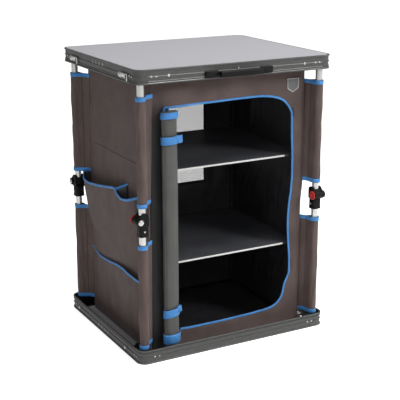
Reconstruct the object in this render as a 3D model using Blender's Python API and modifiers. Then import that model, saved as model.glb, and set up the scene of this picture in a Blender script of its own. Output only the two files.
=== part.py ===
"""Folding camping pantry: two shallow trays on four folding legs, with a fabric cabinet between them.

Metres, Z up. The origin is at the centre of the bottom tray's underside, and the front faces -Y.
Each corner is built in its own frame: X runs along the way its leg folds, Y points into the tray.
"""
import math

import bmesh
import bpy
from mathutils import Matrix, Vector

# Overall size
WIDTH = 0.600
DEPTH = 0.500
HEIGHT = 0.800
GAP = 0.0003

# How finely round pieces are cut
ROUND_SIDES = 16
SMALL_SIDES = 10
BEND_STEPS = 4
WELD_DISTANCE = 0.000001
TURN_MERGE = 0.0001

# Trays
TRAY_WALL = 0.0385
CORNER_RADIUS = 0.026
LIP_REACH = 0.0028
LIP_HEIGHT = 0.0040
LIP_SLOPE = 0.0012
WEB_THICKNESS = 0.0022
FLANGE_REACH = 0.0085
FLANGE_THICKNESS = 0.0025
PANEL_THICKNESS = 0.003
FOLDED_TRAY_GAP = 0.0005

# Leg places and tubes
LEG_ALONG = 0.0255
LEG_INWARD = 0.028
TUBE_RADIUS = 0.0095
TUBE_WALL = 0.0012
KNEE_OFFSET = 0.013

# Feet and their brackets
BARREL_RADIUS = 0.011
BARREL_LENGTH = 0.0534
FOOT_SOCKET_RADIUS = 0.0125
FOOT_SOCKET_RISE = 0.0104
AXLE_RADIUS = 0.004
AXLE_HEAD_RADIUS = 0.011
AXLE_HEAD_THICKNESS = 0.0025
TUBE_SEAT_RISE = 0.0055
LINER_THICKNESS = 0.0020
LINER_STRAIGHT = 0.022
BRACKET_BASE_THICKNESS = 0.0025
BRACKET_REACH = 0.048
EAR_THICKNESS = 0.0045

# Knees
HOUSING_HALF_WIDTH = 0.0143
HOUSING_BOTTOM = 0.043
HOUSING_TOP = 0.0112
HOUSING_BACK = 0.0
HOUSING_FRONT = 0.0265
HOUSING_ROUNDING = 0.006
HOUSING_SEAT = 0.0203
CHEEK_INNER = 0.0102
CHEEK_OUTER = 0.0148
CHEEK_RADIUS = 0.0112
CHEEK_RISE = 0.022
CHEEK_CROWN = ((0.0045, 0.0025), (0.0085, 0), (0.0175, 0), (0.0240, 0.003))
CHEEK_FRONT_DROP = 0.008
BOSS_RADIUS = 0.0105
BOSS_LENGTH = 0.0050
TONGUE_HALF_WIDTH = 0.0098
TONGUE_RADIUS = 0.0108
TONGUE_RISE = 0.0152
TONGUE_CHAMFER = 0.002
TONGUE_BACK = 0.001
PLUG_LENGTH = 0.021
KNEE_PIN_RADIUS = 0.0032
KNEE_PIN_BORE = 0.0021
KNEE_PIN_BORE_DEPTH = 0.0072
DISC_RADIUS = 0.00775
DISC_THICKNESS = 0.001
BUTTON_RADIUS = 0.0128
BUTTON_THICKNESS = 0.0032
BUTTON_TRAVEL = 0.003
BUTTON_STEM_RADIUS = 0.0018
BUTTON_SIDES = 24

# Swing latches on both sides
LATCH_REAR_SETBACK = 0.071
LATCH_FRONT_SETBACK = 0.097
LATCH_PLACES = (DEPTH / 2 - LATCH_REAR_SETBACK, LATCH_FRONT_SETBACK - DEPTH / 2)
LATCH_LENGTH = 0.0395
LATCH_ROOM = 0.0006
LATCH_SWING_ROOM = 0.0015
LATCH_HOOK_WIDTH = 0.006
LATCH_HOOK_DROP = 0.013
LATCH_PLATE_HEIGHT = 0.014
LATCH_THICKNESS = 0.0012
LATCH_PIVOT_DROP = 0.021
LATCH_PIVOT_RADIUS = 0.0025
LATCH_COLLAR_RADIUS = 0.0045
LATCH_HEAD_RADIUS = 0.0045
LATCH_HEAD_THICKNESS = 0.0008
LATCH_STUD_RADIUS = LATCH_PIVOT_RADIUS

# Carrying handle at the front
HANDLE_INNER = 0.064
HANDLE_OUTER = 0.102
HANDLE_BRACKET_DEPTH = 0.0075
HANDLE_BRACKET_ROUNDING = 0.0015
HANDLE_BRACKET_DROP = 0.0165
HANDLE_PIVOT_DROP = 0.0255
HANDLE_PIVOT_OUT = 0.0050
HANDLE_PIN_RADIUS = 0.0022
HANDLE_PIN_LENGTH = 0.008
GRIP_NEAR = 0.0055
GRIP_FAR = 0.0175
GRIP_HALF_HEIGHT = 0.0085
GRIP_ROUNDING = 0.004
GRIP_ARM = 0.012
GRIP_ARM_RADIUS = 0.0044

# Fabric cabinet
CABINET_INSET = 0.055
CLOTH = 0.0012
CLOTH_BOTTOM = PANEL_THICKNESS + GAP
CLOTH_TOP = HEIGHT - PANEL_THICKNESS - GAP
SIDE_COLUMNS = 8
SHEET_ROWS = 12
SIDE_FOLDS = 2
FOLD_HEIGHT = 0.0035
SHELF_THICKNESS = 0.005
UPPER_SHELF_TOP = 0.515
LOWER_SHELF_TOP = 0.2535
SHELF_SETBACK = 0.010
WINDOW_HALF_WIDTH = 0.138
WINDOW_BOTTOM = 0.348
WINDOW_TOP = 0.655
NET_COLUMNS = 7
NET_ROWS = 7
NET_BAR_SHARE = 0.35
DOOR_LEFT_SETBACK = 0.122
DOOR_RIGHT_SETBACK = 0.093
DOOR_BOTTOM = 0.055
DOOR_TOP_SETBACK = 0.110
DOOR_CORNER = 0.065
DOOR_LEFT_CORNER = 0.012
DOOR_CORNER_STEPS = 6
ROLL_SETBACK = 0.1195
ROLL_HALF_WIDTH = 0.0245
ROLL_HALF_DEPTH = 0.014
ROLL_BOTTOM = 0.030
ROLL_TOP_SETBACK = 0.130
LOWER_STRAP = 0.110
UPPER_STRAP_SETBACK = 0.202
ROLL_WAIST = 0.90
ROLL_END = 0.020
ROLL_END_SHARE = 0.75
ROLL_SIDES = 20
SLEEVE_THICKNESS = 0.0014
LOWER_SLEEVE_BOTTOM = 0.038
LOWER_SLEEVE_DROP = 0.069
UPPER_SLEEVE_RISE = 0.036
UPPER_SLEEVE_SETBACK = 0.073
SLEEVE_SIDES = 14
WEB_SEAM = 0.7 * CLOTH
POCKET_BULGE = 0.018
POCKET_FULLNESS = 0.7
POCKET_COLUMNS = 12
POCKET_ROWS = 4
POCKET_SEAM = 7 / 12
POCKET_ROOM = 0.010
POCKET_END_ROOM = 0.002
LOWER_POCKET_BOTTOM = 0.020
LOWER_POCKET_TOPS = (0.193, 0.193)
LOWER_POCKET_SAG = 0.004
UPPER_POCKET_BOTTOM = 0.205
UPPER_POCKET_TOPS = (0.436, 0.426, 0.397)
UPPER_POCKET_SAG = 0.012

CORNERS = ('front_left', 'front_right', 'back_right', 'back_left')
PIVOT_RISE = TRAY_WALL + FOLDED_TRAY_GAP / 2 - KNEE_OFFSET
KNEE_HEIGHT = HEIGHT / 2
WEB_INNER = LIP_REACH + WEB_THICKNESS
BRACKET_INSET = WEB_INNER + GAP
BRACKET_FLOOR = PANEL_THICKNESS + 2 * GAP + FLANGE_THICKNESS
LINER_BEND = CORNER_RADIUS - BRACKET_INSET - LINER_THICKNESS
BARREL_BACK = CORNER_RADIUS - LEG_ALONG + BARREL_RADIUS
BARREL_START = CORNER_RADIUS - math.sqrt(LINER_BEND ** 2 - BARREL_BACK ** 2) + 2 * GAP
BARREL_END = BARREL_START + BARREL_LENGTH
BOSS_END = CHEEK_OUTER + BOSS_LENGTH
TUBE_END = PIVOT_RISE + TUBE_SEAT_RISE + GAP
CABINET_X = WIDTH / 2 - CABINET_INSET
CABINET_Y = DEPTH / 2 - CABINET_INSET
DOOR_LEFT = DOOR_LEFT_SETBACK - WIDTH / 2
DOOR_RIGHT = WIDTH / 2 - DOOR_RIGHT_SETBACK
DOOR_TOP = HEIGHT - DOOR_TOP_SETBACK
ROLL_CENTRE = ROLL_SETBACK - WIDTH / 2
ROLL_TOP = HEIGHT - ROLL_TOP_SETBACK
UPPER_STRAP = HEIGHT - UPPER_STRAP_SETBACK
LOWER_SLEEVE_TOP = KNEE_HEIGHT - LOWER_SLEEVE_DROP
UPPER_SLEEVE_BOTTOM = KNEE_HEIGHT + UPPER_SLEEVE_RISE
UPPER_SLEEVE_TOP = HEIGHT - UPPER_SLEEVE_SETBACK


def clear_scene():
    for obj in list(bpy.data.objects):
        bpy.data.objects.remove(obj, do_unlink=True)


def new_collection(name):
    collection = bpy.data.collections.new(name)
    bpy.context.scene.collection.children.link(collection)
    return collection


clear_scene()
PANTRY = new_collection('folding_camping_pantry')
WORKSHOP = new_collection('cutters')


def new_material(name, colour, roughness, metallic=0.0):
    material = bpy.data.materials.new(name)
    material.use_nodes = True
    shader = material.node_tree.nodes['Principled BSDF']
    shader.inputs['Base Color'].default_value = (*colour, 1)
    shader.inputs['Roughness'].default_value = roughness
    shader.inputs['Metallic'].default_value = metallic
    return material


LIGHT_PANEL = new_material('light grey laminate', (0.46, 0.46, 0.48), 0.45)
DARK_RAIL = new_material('dark grey rail', (0.075, 0.077, 0.074), 0.5, 0.3)
BLACK_PLASTIC = new_material('black plastic', (0.012, 0.012, 0.013), 0.5)
ALUMINIUM = new_material('aluminium tube', (0.75, 0.75, 0.73), 0.32, 0.9)
STEEL = new_material('silver steel', (0.65, 0.65, 0.64), 0.3, 1.0)
RED_PLASTIC = new_material('red plastic', (0.55, 0.025, 0.02), 0.45)
GREY_FABRIC = new_material('grey brown fabric', (0.10, 0.082, 0.075), 0.9)
DARK_FABRIC = new_material('dark fabric', (0.03, 0.028, 0.027), 0.9)
BLACK_NET = new_material('black net', (0.01, 0.01, 0.01), 0.9)
SHELF_SHEET = new_material('black shelf sheet', (0.008, 0.008, 0.009), 0.35)


def add_object(name, mesh):
    obj = bpy.data.objects.new(name, mesh)
    WORKSHOP.objects.link(obj)
    return obj


def evaluated_mesh(obj):
    bpy.context.view_layer.update()
    graph = bpy.context.evaluated_depsgraph_get()
    return bpy.data.meshes.new_from_object(obj.evaluated_get(graph))


def apply_modifiers(obj):
    mesh = evaluated_mesh(obj)
    obj.modifiers.clear()
    obj.data = mesh
    return obj


def solid_from_curve(obj):
    """Make a filled curve a closed mesh, with its caps welded on."""
    mesh = evaluated_mesh(obj)
    shape = bmesh.new()
    shape.from_mesh(mesh)
    bmesh.ops.remove_doubles(shape, verts=shape.verts, dist=WELD_DISTANCE)
    shape.to_mesh(mesh)
    shape.free()
    solid = add_object(obj.name + ' solid', mesh)
    bpy.data.objects.remove(obj, do_unlink=True)
    return solid


def curve_object(name, splines, flat=True, cyclic=True):
    curve = bpy.data.curves.new(name, 'CURVE')
    curve.dimensions = '2D' if flat else '3D'
    for points in splines:
        spline = curve.splines.new('POLY')
        spline.points.add(len(points) - 1)
        for index, point in enumerate(points):
            place = tuple(point) if len(point) == 3 else (*point, 0.0)
            spline.points[index].co = (*place, 1.0)
        spline.use_cyclic_u = cyclic
    obj = bpy.data.objects.new(name, curve)
    WORKSHOP.objects.link(obj)
    return obj


def plate(splines, low, high):
    """A flat outline, with any holes, standing from low to high along Z."""
    obj = curve_object('plate', splines)
    obj.data.fill_mode = 'BOTH'
    obj.data.extrude = (high - low) / 2
    solid = solid_from_curve(obj)
    solid.data.transform(Matrix.Translation((0, 0, (low + high) / 2)))
    return solid


def side_plate(outline, low, high):
    """A flat outline of X and Z, standing from low to high along Y."""
    solid = plate([outline], -high, -low)
    solid.data.transform(Matrix.Rotation(math.radians(90), 4, 'X'))
    return solid


def swept(profile, path, closed=False):
    """A closed profile carried along a path: its X lies to the right of the way, its Y up."""
    section = curve_object('section', [profile])
    rail = curve_object('sweep', [path], flat=False, cyclic=closed)
    rail.data.twist_mode = 'Z_UP'
    rail.data.bevel_mode = 'OBJECT'
    rail.data.bevel_object = section
    rail.data.use_fill_caps = True
    solid = solid_from_curve(rail)
    bpy.data.objects.remove(section, do_unlink=True)
    return solid


def box(low, high):
    low = Vector(low)
    high = Vector(high)
    shape = bmesh.new()
    bmesh.ops.create_cube(shape, size=1.0)
    bmesh.ops.scale(shape, vec=high - low, verts=shape.verts)
    bmesh.ops.translate(shape, vec=(low + high) / 2, verts=shape.verts)
    mesh = bpy.data.meshes.new('box')
    shape.to_mesh(mesh)
    shape.free()
    return add_object('box', mesh)


def cylinder(start, end, radius, sides=ROUND_SIDES):
    start = Vector(start)
    end = Vector(end)
    shape = bmesh.new()
    bmesh.ops.create_cone(shape, cap_ends=True, segments=sides, radius1=radius, radius2=radius,
                          depth=(end - start).length)
    turn = Vector((0, 0, 1)).rotation_difference(end - start).to_matrix().to_4x4()
    shape.transform(Matrix.Translation((start + end) / 2) @ turn)
    mesh = bpy.data.meshes.new('cylinder')
    shape.to_mesh(mesh)
    shape.free()
    return add_object('cylinder', mesh)


def combine(target, tool, operation):
    tool.hide_render = True
    tool.display_type = 'WIRE'
    modifier = target.modifiers.new(operation.lower(), 'BOOLEAN')
    modifier.operation = operation
    modifier.solver = 'EXACT'
    modifier.object = tool
    apply_modifiers(target)
    bpy.data.objects.remove(tool, do_unlink=True)
    return target


def united(first, *others):
    for other in others:
        combine(first, other, 'UNION')
    return first


def cut(target, *cutters):
    for cutter in cutters:
        combine(target, cutter, 'DIFFERENCE')
    return target


def bevelled(obj, width, segments=2):
    bevel = obj.modifiers.new('rounding', 'BEVEL')
    bevel.width = width
    bevel.segments = segments
    bevel.limit_method = 'ANGLE'
    return apply_modifiers(obj)


def moved(obj, matrix):
    obj.data.transform(matrix)
    return obj


def turned_over(obj):
    """The mirror image of a bottom tray piece, for the tray that hangs upside down on top."""
    obj.data.transform(Matrix.Translation((0, 0, HEIGHT)) @ Matrix.Scale(-1, 4, (0, 0, 1)))
    obj.data.flip_normals()
    return obj


def node(name, piece, material, carrier=None):
    """Give a finished solid its name and material, and hang it on an empty at its joint."""
    mesh = piece.data
    mesh.name = name
    mesh.materials.clear()
    mesh.materials.append(material)
    mesh.shade_smooth()
    mesh.set_sharp_from_angle(angle=math.radians(30))
    piece.name = name
    WORKSHOP.objects.unlink(piece)
    PANTRY.objects.link(piece)
    if carrier:
        mesh.transform(carrier.matrix_world.inverted())
        piece.parent = carrier
    return piece


def pivot(name, place):
    empty = bpy.data.objects.new(name, None)
    empty.empty_display_size = 0.03
    empty.location = place
    PANTRY.objects.link(empty)
    bpy.context.view_layer.update()
    return empty


def arc(centre, radius, first, last, steps):
    points = []
    for step in range(steps + 1):
        angle = math.radians(first + (last - first) * step / steps)
        points.append((centre[0] + radius * math.cos(angle), centre[1] + radius * math.sin(angle)))
    return points


def rounded_rectangle(half_x, half_y, radius, steps=5, centre=(0, 0)):
    points = []
    for number, (side_x, side_y) in enumerate(((1, 1), (-1, 1), (-1, -1), (1, -1))):
        middle = (centre[0] + side_x * (half_x - radius), centre[1] + side_y * (half_y - radius))
        points += arc(middle, radius, 90 * number, 90 * number + 90, steps)
    return points


def corner_frame(number):
    side_x, side_y = ((-1, -1), (1, -1), (1, 1), (-1, 1))[number]
    place = Matrix.Translation((side_x * WIDTH / 2, side_y * DEPTH / 2, 0))
    return place @ Matrix.Rotation(math.radians(90 * number), 4, 'Z')


def corner_path(inset, straight, rise):
    """The tray's outline round one corner, set in from the edge."""
    middle = (CORNER_RADIUS, CORNER_RADIUS)
    bend = arc(middle, CORNER_RADIUS - inset, 270, 180, BEND_STEPS)
    points = [(CORNER_RADIUS + straight, inset), *bend, (inset, CORNER_RADIUS + straight)]
    return [(x, y, rise) for x, y in points]


def rail_profile():
    """Section of a rail: X in from the outer edge, Y up from the tray's base."""
    lip_end = LIP_HEIGHT + LIP_SLOPE
    flange_low = PANEL_THICKNESS + GAP
    flange_high = flange_low + FLANGE_THICKNESS
    return [
        (0, 0), (0, LIP_HEIGHT), (LIP_REACH, lip_end), (LIP_REACH, TRAY_WALL - lip_end),
        (0, TRAY_WALL - LIP_HEIGHT), (0, TRAY_WALL), (WEB_INNER, TRAY_WALL),
        (WEB_INNER, flange_high), (WEB_INNER + FLANGE_REACH, flange_high),
        (WEB_INNER + FLANGE_REACH, flange_low), (WEB_INNER, flange_low), (WEB_INNER, 0),
    ]


def tray_panel():
    inset = WEB_INNER + GAP
    outline = rounded_rectangle(WIDTH / 2 - inset, DEPTH / 2 - inset, CORNER_RADIUS - inset, BEND_STEPS)
    return plate([outline], 0, PANEL_THICKNESS)


def tray_frame():
    """The four rails and their corner mouldings as one ring."""
    outline = rounded_rectangle(WIDTH / 2, DEPTH / 2, CORNER_RADIUS, BEND_STEPS)
    return swept(rail_profile(), [(x, y, 0) for x, y in reversed(outline)], closed=True)


def hinge_bracket():
    """Corner liner, base plate, inner ear and the axle that they hold, with its head."""
    height = TRAY_WALL - FOLDED_TRAY_GAP - BRACKET_FLOOR
    wall = [(0, 0), (0, height), (LINER_THICKNESS, height), (LINER_THICKNESS, 0)]
    liner = swept(wall, corner_path(BRACKET_INSET, LINER_STRAIGHT, BRACKET_FLOOR))
    middle = (CORNER_RADIUS, CORNER_RADIUS)
    inset = BRACKET_INSET + LINER_THICKNESS / 2
    ear_start = BARREL_END + GAP
    ear_end = ear_start + EAR_THICKNESS
    outline = [(BRACKET_REACH, inset), *arc(middle, CORNER_RADIUS - inset, 270, 180, BEND_STEPS),
               (inset, ear_end - GAP), (BRACKET_REACH, ear_end - GAP)]
    base_top = BRACKET_FLOOR + BRACKET_BASE_THICKNESS
    base = plate([outline], BRACKET_FLOOR + GAP, base_top)
    ear_radius = BARREL_RADIUS - GAP
    foot_level = (BRACKET_FLOOR + base_top) / 2
    ear_outline = [*arc((LEG_ALONG, PIVOT_RISE), ear_radius, 0, 180, 2 * BEND_STEPS),
                   (LEG_ALONG - ear_radius, foot_level), (LEG_ALONG + ear_radius, foot_level)]
    ear = side_plate(ear_outline, ear_start, ear_end)
    shank = cylinder((LEG_ALONG, inset, PIVOT_RISE), (LEG_ALONG, ear_end - GAP, PIVOT_RISE),
                     AXLE_RADIUS, SMALL_SIDES)
    head = cylinder((LEG_ALONG, ear_end - GAP, PIVOT_RISE),
                    (LEG_ALONG, ear_end + AXLE_HEAD_THICKNESS, PIVOT_RISE), AXLE_HEAD_RADIUS)
    return united(base, liner, ear, shank, head)


def foot():
    """Barrel that turns on the axle, with the tube's socket above it."""
    barrel = cylinder((LEG_ALONG, BARREL_START, PIVOT_RISE), (LEG_ALONG, BARREL_END, PIVOT_RISE),
                      BARREL_RADIUS)
    socket_top = PIVOT_RISE + FOOT_SOCKET_RISE
    socket = cylinder((LEG_ALONG, LEG_INWARD, PIVOT_RISE), (LEG_ALONG, LEG_INWARD, socket_top),
                      FOOT_SOCKET_RADIUS)
    body = united(barrel, socket)
    axle_bore = cylinder((LEG_ALONG, 0, PIVOT_RISE), (LEG_ALONG, BARREL_END + GAP, PIVOT_RISE),
                         AXLE_RADIUS + GAP, SMALL_SIDES)
    seat = PIVOT_RISE + TUBE_SEAT_RISE
    bore_end = max(socket_top, PIVOT_RISE + BARREL_RADIUS) + GAP
    tube_bore = cylinder((LEG_ALONG, LEG_INWARD, seat), (LEG_ALONG, LEG_INWARD, bore_end),
                         TUBE_RADIUS + GAP)
    return cut(body, axle_bore, tube_bore)


def leg_tube(bottom, top):
    outer = cylinder((LEG_ALONG, LEG_INWARD, bottom), (LEG_ALONG, LEG_INWARD, top), TUBE_RADIUS)
    inner = cylinder((LEG_ALONG, LEG_INWARD, bottom - GAP), (LEG_ALONG, LEG_INWARD, top + GAP),
                     TUBE_RADIUS - TUBE_WALL)
    return cut(outer, inner)


def at_knee(obj):
    """Carry a piece drawn round the knee's axis to its place on the leg."""
    return moved(obj, Matrix.Translation((LEG_ALONG - KNEE_OFFSET, LEG_INWARD, KNEE_HEIGHT)))


def knee_pin_bore(reach):
    return cylinder((0, -reach, 0), (0, reach, 0), KNEE_PIN_RADIUS + GAP, SMALL_SIDES)


def knee_housing():
    """Socket round the lower tube, with two cheeks that carry the knee pin and a boss on the outer one."""
    middle = ((HOUSING_BACK + HOUSING_FRONT) / 2, 0)
    outline = rounded_rectangle((HOUSING_FRONT - HOUSING_BACK) / 2, HOUSING_HALF_WIDTH,
                                HOUSING_ROUNDING, BEND_STEPS // 2, middle)
    housing = plate([outline], -HOUSING_BOTTOM, -HOUSING_TOP)
    foot_level = -HOUSING_TOP - CHEEK_RADIUS / 8
    crown = [(x, CHEEK_RISE - drop) for x, drop in CHEEK_CROWN]
    front = HOUSING_FRONT - GAP
    cheek_outline = [*arc((0, 0), CHEEK_RADIUS, 270, 120, 2 * BEND_STEPS), *crown,
                     (front, CHEEK_RISE - CHEEK_FRONT_DROP), (front, foot_level), (GAP, foot_level)]
    for side in (-1, 1):
        low, high = sorted((side * CHEEK_INNER, side * CHEEK_OUTER))
        united(housing, side_plate(cheek_outline, low, high))
    united(housing, cylinder((0, -(CHEEK_INNER + CHEEK_OUTER) / 2, 0), (0, -BOSS_END, 0), BOSS_RADIUS))
    tube_bore = cylinder((KNEE_OFFSET, 0, -HOUSING_BOTTOM - GAP), (KNEE_OFFSET, 0, -HOUSING_SEAT),
                         TUBE_RADIUS + GAP)
    return cut(housing, tube_bore, knee_pin_bore(BOSS_END + GAP))


def knee_tongue():
    """Block that turns between the cheeks, with a plug up into the upper tube."""
    front = KNEE_OFFSET + TUBE_RADIUS
    outline = [*arc((0, 0), TONGUE_RADIUS, 90, 270, 2 * BEND_STEPS),
               (front - TONGUE_CHAMFER, -TONGUE_RADIUS), (front, -TONGUE_RADIUS + TONGUE_CHAMFER),
               (front, TONGUE_RISE), (TONGUE_BACK, TONGUE_RISE)]
    tongue = side_plate(outline, -TONGUE_HALF_WIDTH, TONGUE_HALF_WIDTH)
    plug = cylinder((KNEE_OFFSET, 0, TONGUE_RISE / 2), (KNEE_OFFSET, 0, TONGUE_RISE + PLUG_LENGTH),
                    TUBE_RADIUS - TUBE_WALL - GAP)
    united(tongue, plug)
    return cut(tongue, knee_pin_bore(TONGUE_HALF_WIDTH + GAP))


def knee_pin():
    """Pin with its disc on the outer side, hollow at the button's side."""
    inner_end = CHEEK_OUTER - 2 * GAP
    disc_back = -BOSS_END - GAP
    pin = cylinder((0, disc_back - DISC_THICKNESS / 2, 0), (0, inner_end, 0), KNEE_PIN_RADIUS, SMALL_SIDES)
    disc = cylinder((0, disc_back - DISC_THICKNESS, 0), (0, disc_back, 0), DISC_RADIUS)
    bore = cylinder((0, inner_end - KNEE_PIN_BORE_DEPTH, 0), (0, inner_end + GAP, 0), KNEE_PIN_BORE,
                    SMALL_SIDES)
    return cut(united(disc, pin), bore)


def lock_button():
    """Push button whose stem slides in the knee pin's bore."""
    back = CHEEK_OUTER + GAP + BUTTON_TRAVEL
    bore_bottom = CHEEK_OUTER - 2 * GAP - KNEE_PIN_BORE_DEPTH
    cap = cylinder((0, back, 0), (0, back + BUTTON_THICKNESS, 0), BUTTON_RADIUS, BUTTON_SIDES)
    stem = cylinder((0, bore_bottom + BUTTON_TRAVEL + GAP, 0), (0, back + BUTTON_THICKNESS / 2, 0),
                    BUTTON_STEM_RADIUS, SMALL_SIDES)
    return united(cap, stem)


def build_tray(label, top, carrier):
    """The panel, the ring of rails with its latch studs, and the four hinge brackets of one tray."""
    def placed(piece):
        return turned_over(piece) if top else piece

    node(label + '_panel', placed(tray_panel()), LIGHT_PANEL, carrier)
    frame = placed(tray_frame())
    folded_pivot = 2 * TRAY_WALL + FOLDED_TRAY_GAP - LATCH_PIVOT_DROP
    if top:
        studs = latch_studs(HEIGHT - LATCH_PIVOT_DROP, LATCH_COLLAR_RADIUS)
    else:
        studs = latch_studs(folded_pivot - LATCH_LENGTH, LATCH_STUD_RADIUS)
    node(label + '_frame', united(frame, *studs), DARK_RAIL, carrier)
    for number, corner in enumerate(CORNERS):
        bracket = placed(moved(hinge_bracket(), corner_frame(number)))
        node(label + '_' + corner + '_hinge_bracket', bracket, BLACK_PLASTIC, carrier)


def build_leg(number):
    """One folding leg: two tubes, their feet, the knee, its pin and its lock button."""
    corner = CORNERS[number]
    frame = corner_frame(number)
    foot_pivot = pivot(corner + '_foot_pivot', frame @ Vector((LEG_ALONG, LEG_INWARD, PIVOT_RISE)))
    knee_place = (LEG_ALONG - KNEE_OFFSET, LEG_INWARD, KNEE_HEIGHT)
    knee_pivot = pivot(corner + '_knee_pivot', frame @ Vector(knee_place))

    lower = leg_tube(TUBE_END, KNEE_HEIGHT - HOUSING_SEAT - GAP)
    node(corner + '_lower_foot', moved(foot(), frame), BLACK_PLASTIC, foot_pivot)
    node(corner + '_lower_tube', moved(lower, frame), ALUMINIUM, foot_pivot)
    node(corner + '_knee_housing', moved(at_knee(knee_housing()), frame), BLACK_PLASTIC, foot_pivot)
    node(corner + '_knee_pin', moved(at_knee(knee_pin()), frame), STEEL, foot_pivot)
    node(corner + '_lock_button', moved(at_knee(lock_button()), frame), RED_PLASTIC, foot_pivot)

    upper = leg_tube(KNEE_HEIGHT + TONGUE_RISE + GAP, HEIGHT - TUBE_END)
    node(corner + '_knee_tongue', moved(at_knee(knee_tongue()), frame), BLACK_PLASTIC, knee_pivot)
    node(corner + '_upper_tube', moved(upper, frame), ALUMINIUM, knee_pivot)
    node(corner + '_upper_foot', moved(turned_over(foot()), frame), BLACK_PLASTIC, knee_pivot)


def end_plate(outline, low, high):
    """A flat outline of Y and Z, standing from low to high along X."""
    solid = plate([outline], low, high)
    solid.data.transform(Matrix(((0, 0, 1, 0), (1, 0, 0, 0), (0, 1, 0, 0), (0, 0, 0, 1))))
    return solid


def on_side(obj, side):
    """Carry a piece drawn on the right side to the left one, as its mirror image."""
    if side < 0:
        obj.data.transform(Matrix.Scale(-1, 4, (1, 0, 0)))
        obj.data.flip_normals()
    return obj


def latch_hook(place):
    """Flat hook lying forward along the right rail, with a notch that drops over the stud."""
    half = LATCH_PLATE_HEIGHT / 2
    mouth = LATCH_STUD_RADIUS + LATCH_ROOM
    back = -LATCH_LENGTH + mouth + LATCH_SWING_ROOM
    front = -LATCH_LENGTH - mouth
    tip = front - LATCH_HOOK_WIDTH
    outline = [*arc((0, 0), half, -90, 90, 2 * BEND_STEPS), (tip + LATCH_HOOK_WIDTH / 2, half),
               (tip, half - LATCH_HOOK_WIDTH / 2), (tip, -LATCH_HOOK_DROP), (front, -LATCH_HOOK_DROP),
               (front, mouth), (back, mouth), (back, -half)]
    blade = end_plate(outline, WIDTH / 2 + GAP, WIDTH / 2 + GAP + LATCH_THICKNESS)
    bore = cylinder((WIDTH / 2, 0, 0), (WIDTH / 2 + 2 * GAP + LATCH_THICKNESS, 0, 0),
                    LATCH_PIVOT_RADIUS + GAP, SMALL_SIDES)
    cut(blade, bore)
    return moved(blade, Matrix.Translation((0, place, HEIGHT - LATCH_PIVOT_DROP)))


def headed_stud(place, rise, collar_radius):
    """Stud on the right rail's web that carries the latch blade under its head."""
    web = WIDTH / 2 - LIP_REACH - WEB_THICKNESS / 2
    head = WIDTH / 2 + 2 * GAP + LATCH_THICKNESS
    end = head + LATCH_HEAD_THICKNESS
    stud = cylinder((head, place, rise), (end, place, rise), LATCH_HEAD_RADIUS, SMALL_SIDES)
    united(stud, cylinder((web, place, rise), (head + LATCH_HEAD_THICKNESS / 2, place, rise),
                          LATCH_PIVOT_RADIUS, SMALL_SIDES))
    if collar_radius > LATCH_PIVOT_RADIUS:
        united(stud, cylinder((web, place, rise), (WIDTH / 2, place, rise), collar_radius,
                              SMALL_SIDES))
    return stud


def latch_studs(rise, collar_radius):
    return [on_side(headed_stud(place, rise, collar_radius), side)
            for side in (-1, 1) for place in LATCH_PLACES]


def handle_bracket(side):
    """Block on the front rail, with the pin that the grip's arm turns on."""
    web = -DEPTH / 2 + LIP_REACH - GAP
    lip = LIP_HEIGHT + LIP_SLOPE + GAP
    low = (HANDLE_INNER, web - HANDLE_BRACKET_DEPTH, HEIGHT - TRAY_WALL + lip)
    block = bevelled(box(low, (HANDLE_OUTER, web, HEIGHT - HANDLE_BRACKET_DROP)), HANDLE_BRACKET_ROUNDING, 1)
    axis = (-DEPTH / 2 - HANDLE_PIVOT_OUT + LIP_REACH, HEIGHT - HANDLE_PIVOT_DROP)
    pin = cylinder((HANDLE_INNER - HANDLE_PIN_LENGTH, *axis), (HANDLE_INNER + HANDLE_PIN_LENGTH, *axis),
                   HANDLE_PIN_RADIUS, SMALL_SIDES)
    return on_side(united(block, pin), side)


def handle_grip():
    """Bar with an arm at each end, bored for the brackets' pins."""
    middle = (-(GRIP_NEAR + GRIP_FAR) / 2, 0)
    section = rounded_rectangle((GRIP_FAR - GRIP_NEAR) / 2, GRIP_HALF_HEIGHT, GRIP_ROUNDING,
                                BEND_STEPS // 2, middle)
    end = HANDLE_INNER - GAP
    grip = end_plate(section, -end, end)
    arm = [*arc((0, 0), GRIP_ARM_RADIUS, 90, -90, BEND_STEPS),
           (middle[0], -GRIP_ARM_RADIUS), (middle[0], GRIP_ARM_RADIUS)]
    for low in (-end, end - GRIP_ARM):
        united(grip, end_plate(arm, low + GAP / 4, low + GRIP_ARM - GAP / 4))
    for side in (-1, 1):
        mouth = (side * (end + GAP), 0, 0)
        depth = (side * (HANDLE_INNER - HANDLE_PIN_LENGTH - GAP), 0, 0)
        cut(grip, cylinder(depth, mouth, HANDLE_PIN_RADIUS + GAP, SMALL_SIDES))
    place = (0, -DEPTH / 2 - HANDLE_PIVOT_OUT + LIP_REACH, HEIGHT - HANDLE_PIVOT_DROP)
    return moved(grip, Matrix.Translation(place))


def belly(height):
    """0 where a shelf or a tray holds the cloth, and 1 midway between two of them."""
    levels = (CLOTH_BOTTOM, LOWER_SHELF_TOP - SHELF_THICKNESS / 2,
              UPPER_SHELF_TOP - SHELF_THICKNESS / 2, CLOTH_TOP)
    for low, high in zip(levels, levels[1:]):
        if height <= high:
            return math.sin(math.pi * (height - low) / (high - low)) ** 2
    return 0.0


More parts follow.
